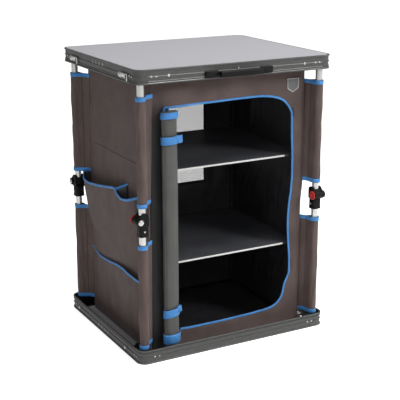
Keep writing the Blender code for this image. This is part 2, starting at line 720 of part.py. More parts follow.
def cloth_sheet(columns, rows, place):
    """A sheet whose outer face is set by place(share along, share up), thickened inward."""
    shape = bmesh.new()
    bmesh.ops.create_grid(shape, x_segments=columns, y_segments=rows, size=0.5)
    for vert in shape.verts:
        vert.co = place(vert.co.x + 0.5, vert.co.y + 0.5)
    mesh = bpy.data.meshes.new('sheet')
    shape.to_mesh(mesh)
    shape.free()
    sheet = add_object('sheet', mesh)
    thickness = sheet.modifiers.new('thickness', 'SOLIDIFY')
    thickness.thickness = CLOTH
    thickness.offset = 1
    thickness.use_even_offset = True
    return apply_modifiers(sheet)


def cabinet_shell():
    """Left side, back and right side in one sheet, with the mesh window cut out of the back."""
    def place(along, up):
        side = min(int(along * 3), 2)
        share = along * 3 - side
        height = CLOTH_BOTTOM + up * (CLOTH_TOP - CLOTH_BOTTOM)
        wave = FOLD_HEIGHT * belly(height) * math.sin(math.pi * SIDE_FOLDS * share) ** 2
        if side == 0:
            fold = wave if height > max(UPPER_POCKET_TOPS) + POCKET_ROOM else 0
            return (-CABINET_X - fold, -CABINET_Y + share * 2 * CABINET_Y, height)
        if side == 1:
            return (-CABINET_X + share * 2 * CABINET_X, CABINET_Y, height)
        return (CABINET_X + wave, CABINET_Y - share * 2 * CABINET_Y, height)

    shell = cloth_sheet(3 * SIDE_COLUMNS, SHEET_ROWS, place)
    window = box((-WINDOW_HALF_WIDTH, CABINET_Y - 2 * CLOTH, WINDOW_BOTTOM),
                 (WINDOW_HALF_WIDTH, CABINET_Y + CLOTH, WINDOW_TOP))
    return united(cut(shell, window), *corner_sleeves())


def front_panel():
    """Front sheet with the door opening; its left strip lies flat behind the rolled door."""
    half = CABINET_X - CLOTH - GAP

    def place(along, up):
        x = half - along * 2 * half
        height = CLOTH_BOTTOM + up * (CLOTH_TOP - CLOTH_BOTTOM)
        wave = FOLD_HEIGHT * belly(height) * math.sin(math.pi * SIDE_FOLDS * along) ** 2
        fold = wave if x > DOOR_LEFT + ROLL_HALF_WIDTH * 2 else 0
        return (x, -CABINET_Y - fold, height)

    panel = cloth_sheet(SIDE_COLUMNS, SHEET_ROWS, place)
    corners = ((DOOR_RIGHT, DOOR_TOP, DOOR_CORNER, 0), (DOOR_LEFT, DOOR_TOP, DOOR_LEFT_CORNER, 90),
               (DOOR_LEFT, DOOR_BOTTOM, DOOR_LEFT_CORNER, 180),
               (DOOR_RIGHT, DOOR_BOTTOM, DOOR_CORNER, 270))
    outline = []
    for x, height, radius, first in corners:
        centre_x = x - radius if x > 0 else x + radius
        centre_z = height - radius if height > HEIGHT / 2 else height + radius
        outline += arc((centre_x, centre_z), radius, first, first + 90, DOOR_CORNER_STEPS)
    reach = 4 * FOLD_HEIGHT
    return cut(panel, side_plate(outline, -CABINET_Y - reach, -CABINET_Y + reach))


def mesh_window():
    """Net of crossing bars in the back opening."""
    columns = 2 * NET_COLUMNS + 1
    rows = 2 * NET_ROWS + 1

    def line(share, count, low, high):
        number = round(share * count)
        pitch = (high - low) / ((count - 1) / 2 + NET_BAR_SHARE)
        return low + pitch * (number // 2 + (number % 2) * NET_BAR_SHARE)

    half = WINDOW_HALF_WIDTH - GAP
    shape = bmesh.new()
    bmesh.ops.create_grid(shape, x_segments=columns, y_segments=rows, size=0.5)
    holes = []
    for face in shape.faces:
        middle = face.calc_center_median()
        across = int((middle.x + 0.5) * columns)
        up = int((middle.y + 0.5) * rows)
        if across % 2 and up % 2:
            holes.append(face)
    bmesh.ops.delete(shape, geom=holes, context='FACES_ONLY')
    for vert in shape.verts:
        x = line(vert.co.x + 0.5, columns, -half, half)
        z = line(vert.co.y + 0.5, rows, WINDOW_BOTTOM + GAP, WINDOW_TOP - GAP)
        vert.co = (x, CABINET_Y, z)
    mesh = bpy.data.meshes.new('net')
    shape.to_mesh(mesh)
    shape.free()
    net = add_object('net', mesh)
    thickness = net.modifiers.new('thickness', 'SOLIDIFY')
    thickness.thickness = CLOTH
    thickness.offset = 1
    return apply_modifiers(net)


def door_roll():
    """The door rolled up and tied at the left of its opening, drawn in at the two straps."""
    profile = [(0, ROLL_TOP), (ROLL_END_SHARE, ROLL_TOP), (1, ROLL_TOP - ROLL_END)]
    for strap in (UPPER_STRAP, LOWER_STRAP):
        profile += [(1, strap + ROLL_END), (ROLL_WAIST, strap), (1, strap - ROLL_END)]
    profile += [(1, ROLL_BOTTOM + ROLL_END), (ROLL_END_SHARE, ROLL_BOTTOM), (0, ROLL_BOTTOM)]
    curve = curve_object('roll', [[(share * ROLL_HALF_WIDTH, 0, rise) for share, rise in profile]],
                         flat=False, cyclic=False)
    line = add_object('roll profile', evaluated_mesh(curve))
    bpy.data.objects.remove(curve, do_unlink=True)
    turn = line.modifiers.new('turn', 'SCREW')
    turn.axis = 'Z'
    turn.steps = ROLL_SIDES
    turn.render_steps = ROLL_SIDES
    turn.use_merge_vertices = True
    turn.merge_threshold = TURN_MERGE
    apply_modifiers(line)
    line.data.transform(Matrix.Scale(ROLL_HALF_DEPTH / ROLL_HALF_WIDTH, 4, (0, 1, 0)))
    return moved(line, Matrix.Translation((ROLL_CENTRE, -CABINET_Y - GAP - ROLL_HALF_DEPTH, 0)))


def pocket(bottom, seams, tops, sag):
    """Sheet on the left side, sewn down at its bottom and at each seam, and open between them on top."""
    front = -CABINET_Y + POCKET_END_ROOM
    length = -2 * front

    def place(along, up):
        part = sum(along > seam for seam in seams[1:-1])
        share = (along - seams[part]) / (seams[part + 1] - seams[part])
        reach = max(math.sin(math.pi * share), 0)
        top = tops[part] + share * (tops[part + 1] - tops[part]) - sag * reach
        bulge = POCKET_BULGE * reach ** POCKET_FULLNESS * math.sin(math.pi / 2 * up)
        return (-CABINET_X - GAP - CLOTH - bulge, front + along * length, bottom + up * (top - bottom))

    return cloth_sheet(POCKET_COLUMNS, POCKET_ROWS, place)


def corner_sleeve(low, high):
    """Cloth round one leg, with its web sewn to the cabinet's corner."""
    axis = Vector((LEG_ALONG, LEG_INWARD))
    web = Vector((CABINET_INSET, CABINET_INSET)) - axis
    heading = math.degrees(math.atan2(web.y, web.x))
    inner = (TUBE_RADIUS + GAP) / math.cos(math.pi / SLEEVE_SIDES)
    outer = inner + SLEEVE_THICKNESS
    open_angle = math.degrees(math.asin(CLOTH / 2 / outer))
    outline = arc(axis, outer, heading + open_angle, heading + 360 - open_angle, SLEEVE_SIDES)
    end = axis + web + web.normalized() * WEB_SEAM
    across = Vector((web.y, -web.x)).normalized() * CLOTH / 2
    outline += [tuple(end + across), tuple(end - across)]
    hole = arc(axis, inner, 0, 360, SLEEVE_SIDES)[:-1]
    return plate([outline, hole], low, high)


def corner_sleeves():
    sleeves = []
    for number in range(len(CORNERS)):
        frame = corner_frame(number)
        sleeves.append(moved(corner_sleeve(LOWER_SLEEVE_BOTTOM, LOWER_SLEEVE_TOP), frame))
        sleeves.append(moved(corner_sleeve(UPPER_SLEEVE_BOTTOM, UPPER_SLEEVE_TOP), frame))
    return sleeves


def shelf(top):
    side = CABINET_X - CLOTH - GAP
    front = -CABINET_Y + SHELF_SETBACK
    return box((-side, front, top - SHELF_THICKNESS), (side, CABINET_Y - CLOTH - GAP, top))


def build_latches():
    for side, side_name in ((-1, 'left'), (1, 'right')):
        for place, place_name in zip(LATCH_PLACES, ('rear', 'front')):
            name = 'latch_hook_' + side_name + '_' + place_name
            hinge = pivot(name + '_pivot', (side * WIDTH / 2, place, HEIGHT - LATCH_PIVOT_DROP))
            node(name, on_side(latch_hook(place), side), STEEL, hinge)


def build_handle(carrier):
    node('handle_bracket_left', handle_bracket(-1), BLACK_PLASTIC, carrier)
    node('handle_bracket_right', handle_bracket(1), BLACK_PLASTIC, carrier)
    place = (0, -DEPTH / 2 - HANDLE_PIVOT_OUT + LIP_REACH, HEIGHT - HANDLE_PIVOT_DROP)
    node('handle_grip', handle_grip(), BLACK_PLASTIC, pivot('handle_grip_pivot', place))


def build_cabinet():
    node('cabinet_shell', cabinet_shell(), GREY_FABRIC)
    node('front_panel', front_panel(), GREY_FABRIC)
    node('mesh_window', mesh_window(), BLACK_NET)
    node('door_roll', door_roll(), DARK_FABRIC)
    lower = pocket(LOWER_POCKET_BOTTOM, (0, 1), LOWER_POCKET_TOPS, LOWER_POCKET_SAG)
    node('lower_pocket', lower, GREY_FABRIC)
    seams = (0, POCKET_SEAM, 1)
    upper = pocket(UPPER_POCKET_BOTTOM, seams, UPPER_POCKET_TOPS, UPPER_POCKET_SAG)
    node('upper_pockets', upper, GREY_FABRIC)
    node('shelf_upper', shelf(UPPER_SHELF_TOP), SHELF_SHEET)
    node('shelf_lower', shelf(LOWER_SHELF_TOP), SHELF_SHEET)


def build_pantry():
    build_tray('bottom', False, None)
    top_place = corner_frame(0) @ Vector((LEG_ALONG, LEG_INWARD, HEIGHT - PIVOT_RISE))
    top_tray = pivot('top_tray_pivot', top_place)
    build_tray('top', True, top_tray)
    for number in range(len(CORNERS)):
        build_leg(number)
    build_latches()
    build_handle(top_tray)
    build_cabinet()


build_pantry()
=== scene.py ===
# Folding camping pantry: finishes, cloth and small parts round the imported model
import math

import bmesh
import bpy
from mathutils import Matrix, Vector, noise


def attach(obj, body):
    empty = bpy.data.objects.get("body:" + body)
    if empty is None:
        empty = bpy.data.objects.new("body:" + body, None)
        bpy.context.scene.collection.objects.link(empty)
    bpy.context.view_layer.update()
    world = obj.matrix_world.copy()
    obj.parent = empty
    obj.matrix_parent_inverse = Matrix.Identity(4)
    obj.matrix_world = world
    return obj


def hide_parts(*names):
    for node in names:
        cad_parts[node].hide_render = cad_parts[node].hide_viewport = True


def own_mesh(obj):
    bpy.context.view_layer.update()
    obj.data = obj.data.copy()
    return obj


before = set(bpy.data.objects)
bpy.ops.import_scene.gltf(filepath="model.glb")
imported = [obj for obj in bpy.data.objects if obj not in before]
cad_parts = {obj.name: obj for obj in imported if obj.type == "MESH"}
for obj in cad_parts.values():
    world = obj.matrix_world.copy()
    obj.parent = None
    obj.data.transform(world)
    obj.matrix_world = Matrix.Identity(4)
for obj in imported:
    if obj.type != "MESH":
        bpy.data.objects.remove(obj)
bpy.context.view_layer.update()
print("packed model loaded:", len(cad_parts), "solids")

corners = ["front_left", "front_right", "back_right", "back_left"]
overall = {"width": 0.600, "depth": 0.500, "height": 0.800}


# Small helpers
def hexColour(code):  # sRGB hex to the linear values Blender works in
    parts = [int(code[i:i + 2], 16) / 255 for i in (1, 3, 5)]
    return [c / 12.92 if c <= 0.04045 else ((c + 0.055) / 1.055) ** 2.4 for c in parts] + [1.0]


def addNode(tree, kind, settings=None, links=None, into=None):
    # inputs go by number or capitalised name, and the rest are settings
    # a node given as a source lends its first output
    node = tree.nodes.new(kind)
    for key, value in (settings or {}).items():
        if isinstance(key, int) or key[0].isupper():
            node.inputs[key].default_value = value
        else:
            setattr(node, key, value)
    for key, source in (links or {}).items():
        tree.links.new(source.outputs[0] if isinstance(source, bpy.types.Node) else source, node.inputs[key])
    if into is not None:
        tree.links.new(node.outputs[0], into)
    return node


def addObject(name, data):
    piece = bpy.data.objects.new(name, data)
    bpy.context.scene.collection.objects.link(piece)
    return piece


# Finishes
# a Mix node's colour sockets stand behind its number and vector ones
mixSocket = {"dark": 6, "light": 7, "colour": 2}
# real threads are about 0.5 mm: drawn coarser so that the weave shows
weave = {"thread": 0.0016, "depth": 0.0003}
# real ribs are under 1 mm apart: drawn coarser so that they show
tapeRib = {"pitch": 0.0016, "depth": 0.0003}
# where painted shade darkens the front's cloth: left of the rolled door, up to about the door's head,
# standing in for the shadow of the roll and the front left leg
paintedShadeStrip = {"across": (-0.204, -0.188), "upward": (0.690, 0.795), "waver": 0.09}  # metres, on the front


def startMaterial(name, colour, roughness, metallic=0.0, **sockets):
    material = bpy.data.materials.new(name)
    material.use_nodes = True
    shader = material.node_tree.nodes["Principled BSDF"]
    shader.inputs["Base Color"].default_value = hexColour(colour)
    shader.inputs["Roughness"].default_value = roughness
    shader.inputs["Metallic"].default_value = metallic
    for key, value in sockets.items():
        shader.inputs[key.replace("_", " ")].default_value = value
    return material, material.node_tree, shader


def mixTones(dark, light):  # settings of a colour mix
    return {"data_type": "RGBA", mixSocket["dark"]: hexColour(dark), mixSocket["light"]: hexColour(light)}


def driftNoise(tree, scale, detail=3.0, stretch=(1, 1, 1)):  # scale is bumps per metre
    place = addNode(tree, "ShaderNodeTexCoord")
    turn = addNode(tree, "ShaderNodeMapping", {"Scale": stretch}, {"Vector": place.outputs["Object"]})
    return addNode(tree, "ShaderNodeTexNoise", {"Scale": scale, "Detail": detail}, {"Vector": turn})


def toneDrift(tree, shader, scale, dark, light, stretch=(1, 1, 1)):  # the colour drifts between two tones
    cloud = driftNoise(tree, scale, stretch=stretch)
    ramp = addNode(tree, "ShaderNodeMapRange", {1: 0.35, 2: 0.65}, {0: cloud})
    mix = addNode(tree, "ShaderNodeMix", mixTones(dark, light), {0: ramp})
    tree.links.new(mix.outputs[mixSocket["colour"]], shader.inputs["Base Color"])
    return cloud


def evenGrain(tree, shader, scale, strength, detail=2, depth=0.0002):  # a grain pressed into the surface
    bump = {"Strength": strength, "Distance": depth}
    addNode(tree, "ShaderNodeBump", bump, {"Height": driftNoise(tree, scale, detail)},
            shader.inputs["Normal"])


def laminateFinish(name, dark, light):  # high-pressure laminate: pebble grain of about 1.5 mm
    material, tree, shader = startMaterial(name, light, 0.42, IOR=1.5)
    toneDrift(tree, shader, 700, dark, light)
    evenGrain(tree, shader, 650, 0.25)
    return material


def coatedRailFinish(name, dark, light, metallic):
    # powder-coated aluminium extrusion: grey, with an orange peel of about 1.2 mm
    material, tree, shader = startMaterial(name, light, 0.40, metallic)
    cloud = toneDrift(tree, shader, 90, dark, light, (1, 1, 4))
    evenGrain(tree, shader, 800, 0.18)
    wear = {1: 0.3, 2: 0.7, 3: 0.34, 4: 0.46}
    addNode(tree, "ShaderNodeMapRange", wear, {0: cloud}, shader.inputs["Roughness"])
    return material


def mouldingFinish():  # moulded ABS corner: dark grey with a spark-eroded grain of about 0.9 mm
    material, tree, shader = startMaterial("moulded dark grey ABS", "#525351", 0.46, IOR=1.54)
    evenGrain(tree, shader, 1100, 0.2)
    return material


def nylonFinish():
    # glass-filled nylon: black, slightly cloudy and unevenly matt, with a grain of about 1.1 mm
    material, tree, shader = startMaterial("glass filled black nylon", "#0a0a0b", 0.6, IOR=1.53,
                                           Specular_IOR_Level=0.2)
    cloud = toneDrift(tree, shader, 60, "#070708", "#0e0e0f")
    addNode(tree, "ShaderNodeMapRange", {1: 0.3, 2: 0.7, 3: 0.5, 4: 0.66}, {0: cloud},
            shader.inputs["Roughness"])
    evenGrain(tree, shader, 900, 0.22)
    return material


def anodisedFinish():  # clear anodised tube: pale, drawn lines about 1.1 mm wide along its length
    material, tree, shader = startMaterial("clear anodised drawn aluminium", "#d9d9d6", 0.34, 0.85)
    lines = driftNoise(tree, 1, 3, (900, 900, 9))
    addNode(tree, "ShaderNodeMapRange", {1: 0.3, 2: 0.7, 3: 0.28, 4: 0.42}, {0: lines},
            shader.inputs["Roughness"])
    return material


def platedFinish():  # zinc-plated steel: bright, softly brushed in level streaks under 1 mm high
    material, tree, shader = startMaterial("zinc plated steel", "#cfcfcc", 0.26, 1.0)
    brush = driftNoise(tree, 1, 3, (300, 60, 1200))
    addNode(tree, "ShaderNodeMapRange", {1: 0.3, 2: 0.7, 3: 0.20, 4: 0.36}, {0: brush},
            shader.inputs["Roughness"])
    return material


def buttonFinish():  # polished ABS push button: clear red, its tone drifting a little
    material, tree, shader = startMaterial("polished red ABS", "#d8362c", 0.30, IOR=1.54)
    toneDrift(tree, shader, 120, "#cf3028", "#df3d33")
    return material


def clothAxes(tree):  # the piece's own cloth map, in metres along and up the cloth
    cloth = addNode(tree, "ShaderNodeUVMap", {"uv_map": "clothMap"})
    return addNode(tree, "ShaderNodeSeparateXYZ", None, {0: cloth}).outputs


def wovenFinish(name, dark, light, roughness=0.72):  # oxford cloth in plain weave: matt, with a faint sheen
    material, tree, shader = startMaterial(name, light, roughness, Sheen_Weight=0.15, Sheen_Roughness=0.4)
    waves = []
    for axis in clothAxes(tree)[:2]:
        turns = {"operation": "MULTIPLY", 1: math.pi / weave["thread"]}
        waves.append(addNode(tree, "ShaderNodeMath", {"operation": "SINE"}, {
            0: addNode(tree, "ShaderNodeMath", turns, {0: axis})}))
    threads = addNode(tree, "ShaderNodeMath", {"operation": "MULTIPLY"}, {0: waves[0], 1: waves[1]})
    fade = addNode(tree, "ShaderNodeMapRange", {1: 0.32, 2: 0.68}, {0: driftNoise(tree, 14, 4)})
    shade = addNode(tree, "ShaderNodeMath", {"operation": "MULTIPLY_ADD", 1: 0.16}, {0: threads, 2: fade})
    mix = addNode(tree, "ShaderNodeMix", mixTones(dark, light), {0: shade})
    tree.links.new(mix.outputs[mixSocket["colour"]], shader.inputs["Base Color"])
    bump = {"Strength": 0.35, "Distance": weave["depth"]}
    addNode(tree, "ShaderNodeBump", bump, {"Height": threads}, shader.inputs["Normal"])
    return material


def shadedStripFinish(name, dark, light):
    # the front's cloth: brown, with painted shade that darkens it to black left of the rolled door and fades
    # out towards the top, standing in for the shadow of the roll and the front left leg
    material = wovenFinish(name, dark, light)
    tree = material.node_tree
    base = tree.nodes["Principled BSDF"].inputs["Base Color"]
    brown = base.links[0].from_socket
    spot = addNode(tree, "ShaderNodeTexCoord")
    axes = addNode(tree, "ShaderNodeSeparateXYZ", None, {0: spot.outputs["Object"]})
    waver = {"operation": "MULTIPLY_ADD", 1: paintedShadeStrip["waver"]}
    height = addNode(tree, "ShaderNodeMath", waver, {0: driftNoise(tree, 18, 3), 2: axes.outputs["Z"]})
    fades = []
    for source, (first, last) in ((axes.outputs["X"], paintedShadeStrip["across"]),
                                  (height, paintedShadeStrip["upward"])):
        fades.append(addNode(tree, "ShaderNodeMapRange", {1: first, 2: last, 3: 1.0, 4: 0.0}, {0: source}))
    shadeMask = addNode(tree, "ShaderNodeMath", {"operation": "MULTIPLY"}, {0: fades[0], 1: fades[1]})
    mix = addNode(tree, "ShaderNodeMix", mixTones(dark, "#121111"), {0: shadeMask, mixSocket["dark"]: brown})
    tree.links.new(mix.outputs[mixSocket["colour"]], base)
    return material


def liningFinish():  # black PU coating on the inside of the cloth: faintly shiny, skin grain of about 2.4 mm
    material, tree, shader = startMaterial("black polyurethane coating", "#333336", 0.50, IOR=1.5)
    toneDrift(tree, shader, 20, "#2d2d30", "#39393d")
    evenGrain(tree, shader, 420, 0.15, 3, 0.0003)
    return material


def tapeFinish():  # grosgrain binding tape: blue polyester with ribs across it
    material, tree, shader = startMaterial("blue grosgrain tape", "#4690d8", 0.62, Sheen_Weight=0.2,
                                           Sheen_Roughness=0.4)
    turns = {"operation": "MULTIPLY", 1: 2 * math.pi / tapeRib["pitch"]}
    ribs = addNode(tree, "ShaderNodeMath", turns, {0: clothAxes(tree)[0]})
    ridge = addNode(tree, "ShaderNodeMath", {"operation": "SINE"}, {0: ribs})
    shade = {"operation": "MULTIPLY_ADD", 1: 0.14}
    fade = addNode(tree, "ShaderNodeMath", shade, {0: ridge, 2: driftNoise(tree, 60, 3)})
    mix = addNode(tree, "ShaderNodeMix", mixTones("#347bc4", "#58a4ea"), {0: fade})
    tree.links.new(mix.outputs[mixSocket["colour"]], shader.inputs["Base Color"])
    bump = {"Strength": 0.4, "Distance": tapeRib["depth"]}
    addNode(tree, "ShaderNodeBump", bump, {"Height": ridge}, shader.inputs["Normal"])
    return material


def shelfFinish():  # polypropylene board under black coated cloth: satin, with soft ripples about 70 mm long
    material, tree, shader = startMaterial("satin black coated board", "#505156", 0.38, IOR=1.5)
    toneDrift(tree, shader, 9, "#4a4b50", "#56575c")
    evenGrain(tree, shader, 14, 0.10, depth=0.004)
    return material


def plainFinish(name, dark, light, roughness, scale=200):  # small moulded or sewn trims
    material, tree, shader = startMaterial(name, light, roughness)
    cloud = toneDrift(tree, shader, scale, dark, light)
    addNode(tree, "ShaderNodeBump", {"Strength": 0.2, "Distance": 0.0002}, {"Height": cloud},
            shader.inputs["Normal"])
    return material


finishes = {
    "panel": laminateFinish("pebbled grey laminate", "#a09fa4", "#abaaaf"),
    # the same laminate as the tabletop, written lighter for the bottom tray's inner side: painted light for
    # the floor strip, which the lamps barely reach
    "paintedLightLaminate": laminateFinish("pebbled laminate with painted light, inner side", "#b2b1b4", "#bfbec1"),
    "rail": coatedRailFinish("powder coated aluminium rail", "#525351", "#5d5e5c", 0.2),
    # lighter finish on the ribs and the lip: a painted highlight where light catches them
    "rib": coatedRailFinish("coated aluminium rib with painted highlight", "#8c8d8b", "#a3a4a2", 0.5),
    "moulding": mouldingFinish(),
    "nylon": nylonFinish(),
    "tube": anodisedFinish(),
    "steel": platedFinish(),
    "button": buttonFinish(),
    "cloth": wovenFinish("brown grey oxford cloth", "#564743", "#655551"),
    # the front's cloth carries painted shade left of the rolled door
    "frontCloth": shadedStripFinish("brown grey oxford cloth with painted shade strip", "#564743", "#655551"),
    "rollCloth": wovenFinish("grey coated oxford cloth", "#4f504c", "#5c5d59", 0.60),
    "lining": liningFinish(),
    "tape": tapeFinish(),
    "shelf": shelfFinish(),
    "edging": plainFinish("white PVC edge strip", "#e2e2de", "#efefec", 0.45),
    "net": plainFinish("black polyester net", "#161618", "#1f1f21", 0.7),
    "zip": plainFinish("black nylon zip", "#121213", "#222224", 0.5, 900),
    "patch": plainFinish("moulded grey rubber patch", "#68696a", "#747576", 0.55),
    "patchRim": plainFinish("pale rubber patch rim", "#c2c2c0", "#d0d0ce", 0.5),
}
print("finishes:", len(finishes))


# Making pieces
def finishPiece(name, bm, finish, body, slot, replaced=(), smooth=35, extra=()):
    mesh = bpy.data.meshes.new(name)
    bm.to_mesh(mesh)
    bm.free()
    piece = addObject(name, mesh)
    for key in (finish, *extra):
        mesh.materials.append(finishes[key])
    mesh.shade_smooth()
    mesh.set_sharp_from_angle(angle=math.radians(smooth))
    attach(piece, body)
    if replaced:
        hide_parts(*replaced)
    return piece


def refinished(name, finish):  # a solid of the frame keeps its shape and takes a finish from here
    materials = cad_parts[name].data.materials
    materials.clear()
    materials.append(finishes[finish])


def movedBy(bm, matrix):
    bmesh.ops.transform(bm, matrix=matrix, verts=bm.verts)
    if matrix.to_3x3().determinant() < 0:
        bmesh.ops.reverse_faces(bm, faces=bm.faces)
    return bm


def gathered(*parts):  # several shapes in one piece
    whole = bmesh.new()
    for part in parts:
        mesh = bpy.data.meshes.new("part")
        part.to_mesh(mesh)
        part.free()
        whole.from_mesh(mesh)
        bpy.data.meshes.remove(mesh)
    return whole


def softened(bm, width, segments=2):
    sharp = math.radians(35)
    edges = [e for e in bm.edges if e.is_manifold and e.calc_face_angle(0) > sharp]
    bmesh.ops.bevel(bm, geom=edges, offset=width, offset_type="OFFSET", affect="EDGES", segments=segments,
                    profile=0.5, material=-1, clamp_overlap=True)
    return bm


def arcPoints(centre, radius, first, last, steps):
    turns = [math.radians(first + (last - first) * i / steps) for i in range(steps + 1)]
    return [(centre[0] + radius * math.cos(a), centre[1] + radius * math.sin(a)) for a in turns]


def roundedOutline(halfX, halfY, radius, steps=5, centre=(0, 0)):
    points = []
    for i, (sx, sy) in enumerate([(1, 1), (-1, 1), (-1, -1), (1, -1)]):
        middle = (centre[0] + sx * (halfX - radius), centre[1] + sy * (halfY - radius))
        points += arcPoints(middle, radius, 90 * i, 90 * i + 90, steps)
    return points


def pushedOut(outline, low, high, edge=0.0, segments=2):  # a flat outline raised from low to high along Z
    bm = bmesh.new()
    face = bm.faces.new([bm.verts.new((x, y, low)) for x, y in outline])
    made = bmesh.ops.extrude_face_region(bm, geom=[face])
    lifted = [v for v in made["geom"] if isinstance(v, bmesh.types.BMVert)]
    bmesh.ops.translate(bm, vec=(0, 0, high - low), verts=lifted)
    bmesh.ops.recalc_face_normals(bm, faces=bm.faces)
    return softened(bm, edge, segments) if edge else bm


def block(low, high, edge, segments=2):
    bm = bmesh.new()
    bmesh.ops.create_cube(bm, size=1)
    low, high = Vector(low), Vector(high)
    bmesh.ops.scale(bm, vec=high - low, verts=bm.verts)
    bmesh.ops.translate(bm, vec=(low + high) / 2, verts=bm.verts)
    return softened(bm, edge, segments)


def spunRound(profile, steps=32):  # (radius, height) points turned about Z
    bm = bmesh.new()
    verts = [bm.verts.new((r, 0, z)) for r, z in profile]
    edges = [bm.edges.new(pair) for pair in zip(verts, verts[1:])]
    bmesh.ops.spin(bm, geom=verts + edges, cent=(0, 0, 0), axis=(0, 0, 1), angle=2 * math.pi, steps=steps,
                   use_merge=True)
    bmesh.ops.remove_doubles(bm, verts=bm.verts, dist=0.000001)
    bmesh.ops.recalc_face_normals(bm, faces=bm.faces)
    return bm


def pointing(place, direction):  # carries a shape drawn along Z to a place, Z along direction
    turn = Vector((0, 0, 1)).rotation_difference(Vector(direction)).to_matrix().to_4x4()
    return Matrix.Translation(Vector(place)) @ turn


def station(place, across, up):  # one cross-section's frame: X across, Y up, Z along
    across, up = Vector(across).normalized(), Vector(up).normalized()
    along = across.cross(up)
    rows = [(across[i], up[i], along[i], place[i]) for i in range(3)]
    return Matrix([*rows, (0, 0, 0, 1)])


def sweptSection(section, stations, closed=False):  # a section carried from station to station
    bm = bmesh.new()
    uv = bm.loops.layers.uv.new("clothMap")
    ring = [bm.verts.new(stations[0] @ Vector((x, y, 0))) for x, y in section]
    edges = [bm.edges.new((a, b)) for a, b in zip(ring, ring[1:] + ring[:1])]
    first = list(edges)
    path = stations[1:] + (stations[:1] if closed else [])
    here, length = stations[0], 0.0
    for there in path:
        made = bmesh.ops.extrude_edge_only(bm, edges=edges)["geom"]
        verts = [g for g in made if isinstance(g, bmesh.types.BMVert)]
        edges = [g for g in made if isinstance(g, bmesh.types.BMEdge)]
        bmesh.ops.transform(bm, matrix=there @ here.inverted(), verts=verts)
        step = (there.translation - here.translation).length
        fresh = set(verts)
        for face in {f for v in verts for f in v.link_faces}:
            for loop in face.loops:
                loop[uv].uv = (length + (step if loop.vert in fresh else 0.0), 0.0)
        here, length = there, length + step
    if closed:
        bmesh.ops.remove_doubles(bm, verts=bm.verts, dist=0.00001)
    else:
        bmesh.ops.contextual_create(bm, geom=first)
        bmesh.ops.contextual_create(bm, geom=edges)
    bmesh.ops.recalc_face_normals(bm, faces=bm.faces)
    return bm


def cornerPlace(number):  # the corner's frame: X along the way its leg folds, Y into the tray
    sx, sy = [(-1, -1), (1, -1), (1, 1), (-1, 1)][number]
    place = Matrix.Translation((sx * overall["width"] / 2, sy * overall["depth"] / 2, 0))
    return place @ Matrix.Rotation(math.radians(90 * number), 4, "Z")


# carries the bottom tray's shapes to the top tray
turnedOver = Matrix.Translation((0, 0, overall["height"])) @ Matrix.Scale(-1, 4, (0, 0, 1))


# Camera, floor and light
def setTheView():
    view = {"place": (-1.3617, -2.5232, 1.1972), "turn": (73.745, 0, -28.689), "lens": 91.48, "sensor": 36}
    camera = addObject("camera", bpy.data.cameras.new("camera"))
    camera.location = view["place"]
    camera.rotation_euler = [math.radians(a) for a in view["turn"]]
    camera.data.lens = view["lens"]
    camera.data.sensor_width = view["sensor"]
    bpy.context.scene.camera = camera
    bpy.context.scene.view_settings.view_transform = "Standard"


def lightTheRoom():
    lamps = [  # name, place, aims at, size, watts
        ("right softbox", (3.2, -1.75, 1.7), (0, 0, 0.45), 1.2, 24),
        ("right front softbox", (1.9, -2.8, 2.5), (0, 0, 0.4), 1.0, 54),
        ("left softbox", (-3.0, -1.4, 2.1), (0, 0, 0.55), 1.2, 18),
        ("top light", (0.4, -0.3, 3.0), (0, 0, 0.6), 1.8, 72),
        ("front fill", (-1.0, -3.2, 1.8), (0, 0, 0.5), 1.2, 11),
    ]
    for name, place, aim, size, watts in lamps:
        data = bpy.data.lights.new(name, "AREA")
        data.size = size
        data.energy = watts
        lamp = addObject(name, data)
        lamp.location = place
        lamp.rotation_euler = (Vector(aim) - Vector(place)).to_track_quat("-Z", "Y").to_euler()
    skyLight = {"onPieces": 0.10, "behind": 1.0}  # strength of the white sky as a light, and as it is seen
    world = bpy.context.scene.world or bpy.data.worlds.new("studio")
    bpy.context.scene.world = world
    world.use_nodes = True
    tree = world.node_tree
    tree.nodes.clear()
    ray = addNode(tree, "ShaderNodeLightPath").outputs
    shown = addNode(tree, "ShaderNodeMath", {"operation": "MAXIMUM"},
                    {0: ray["Is Camera Ray"], 1: ray["Is Transmission Ray"]})
    strength = addNode(tree, "ShaderNodeMapRange", {3: skyLight["onPieces"], 4: skyLight["behind"]},
                       {0: shown})
    sky = addNode(tree, "ShaderNodeBackground", {"Color": (1, 1, 1, 1)}, {"Strength": strength})
    addNode(tree, "ShaderNodeOutputWorld", None, {"Surface": sky})


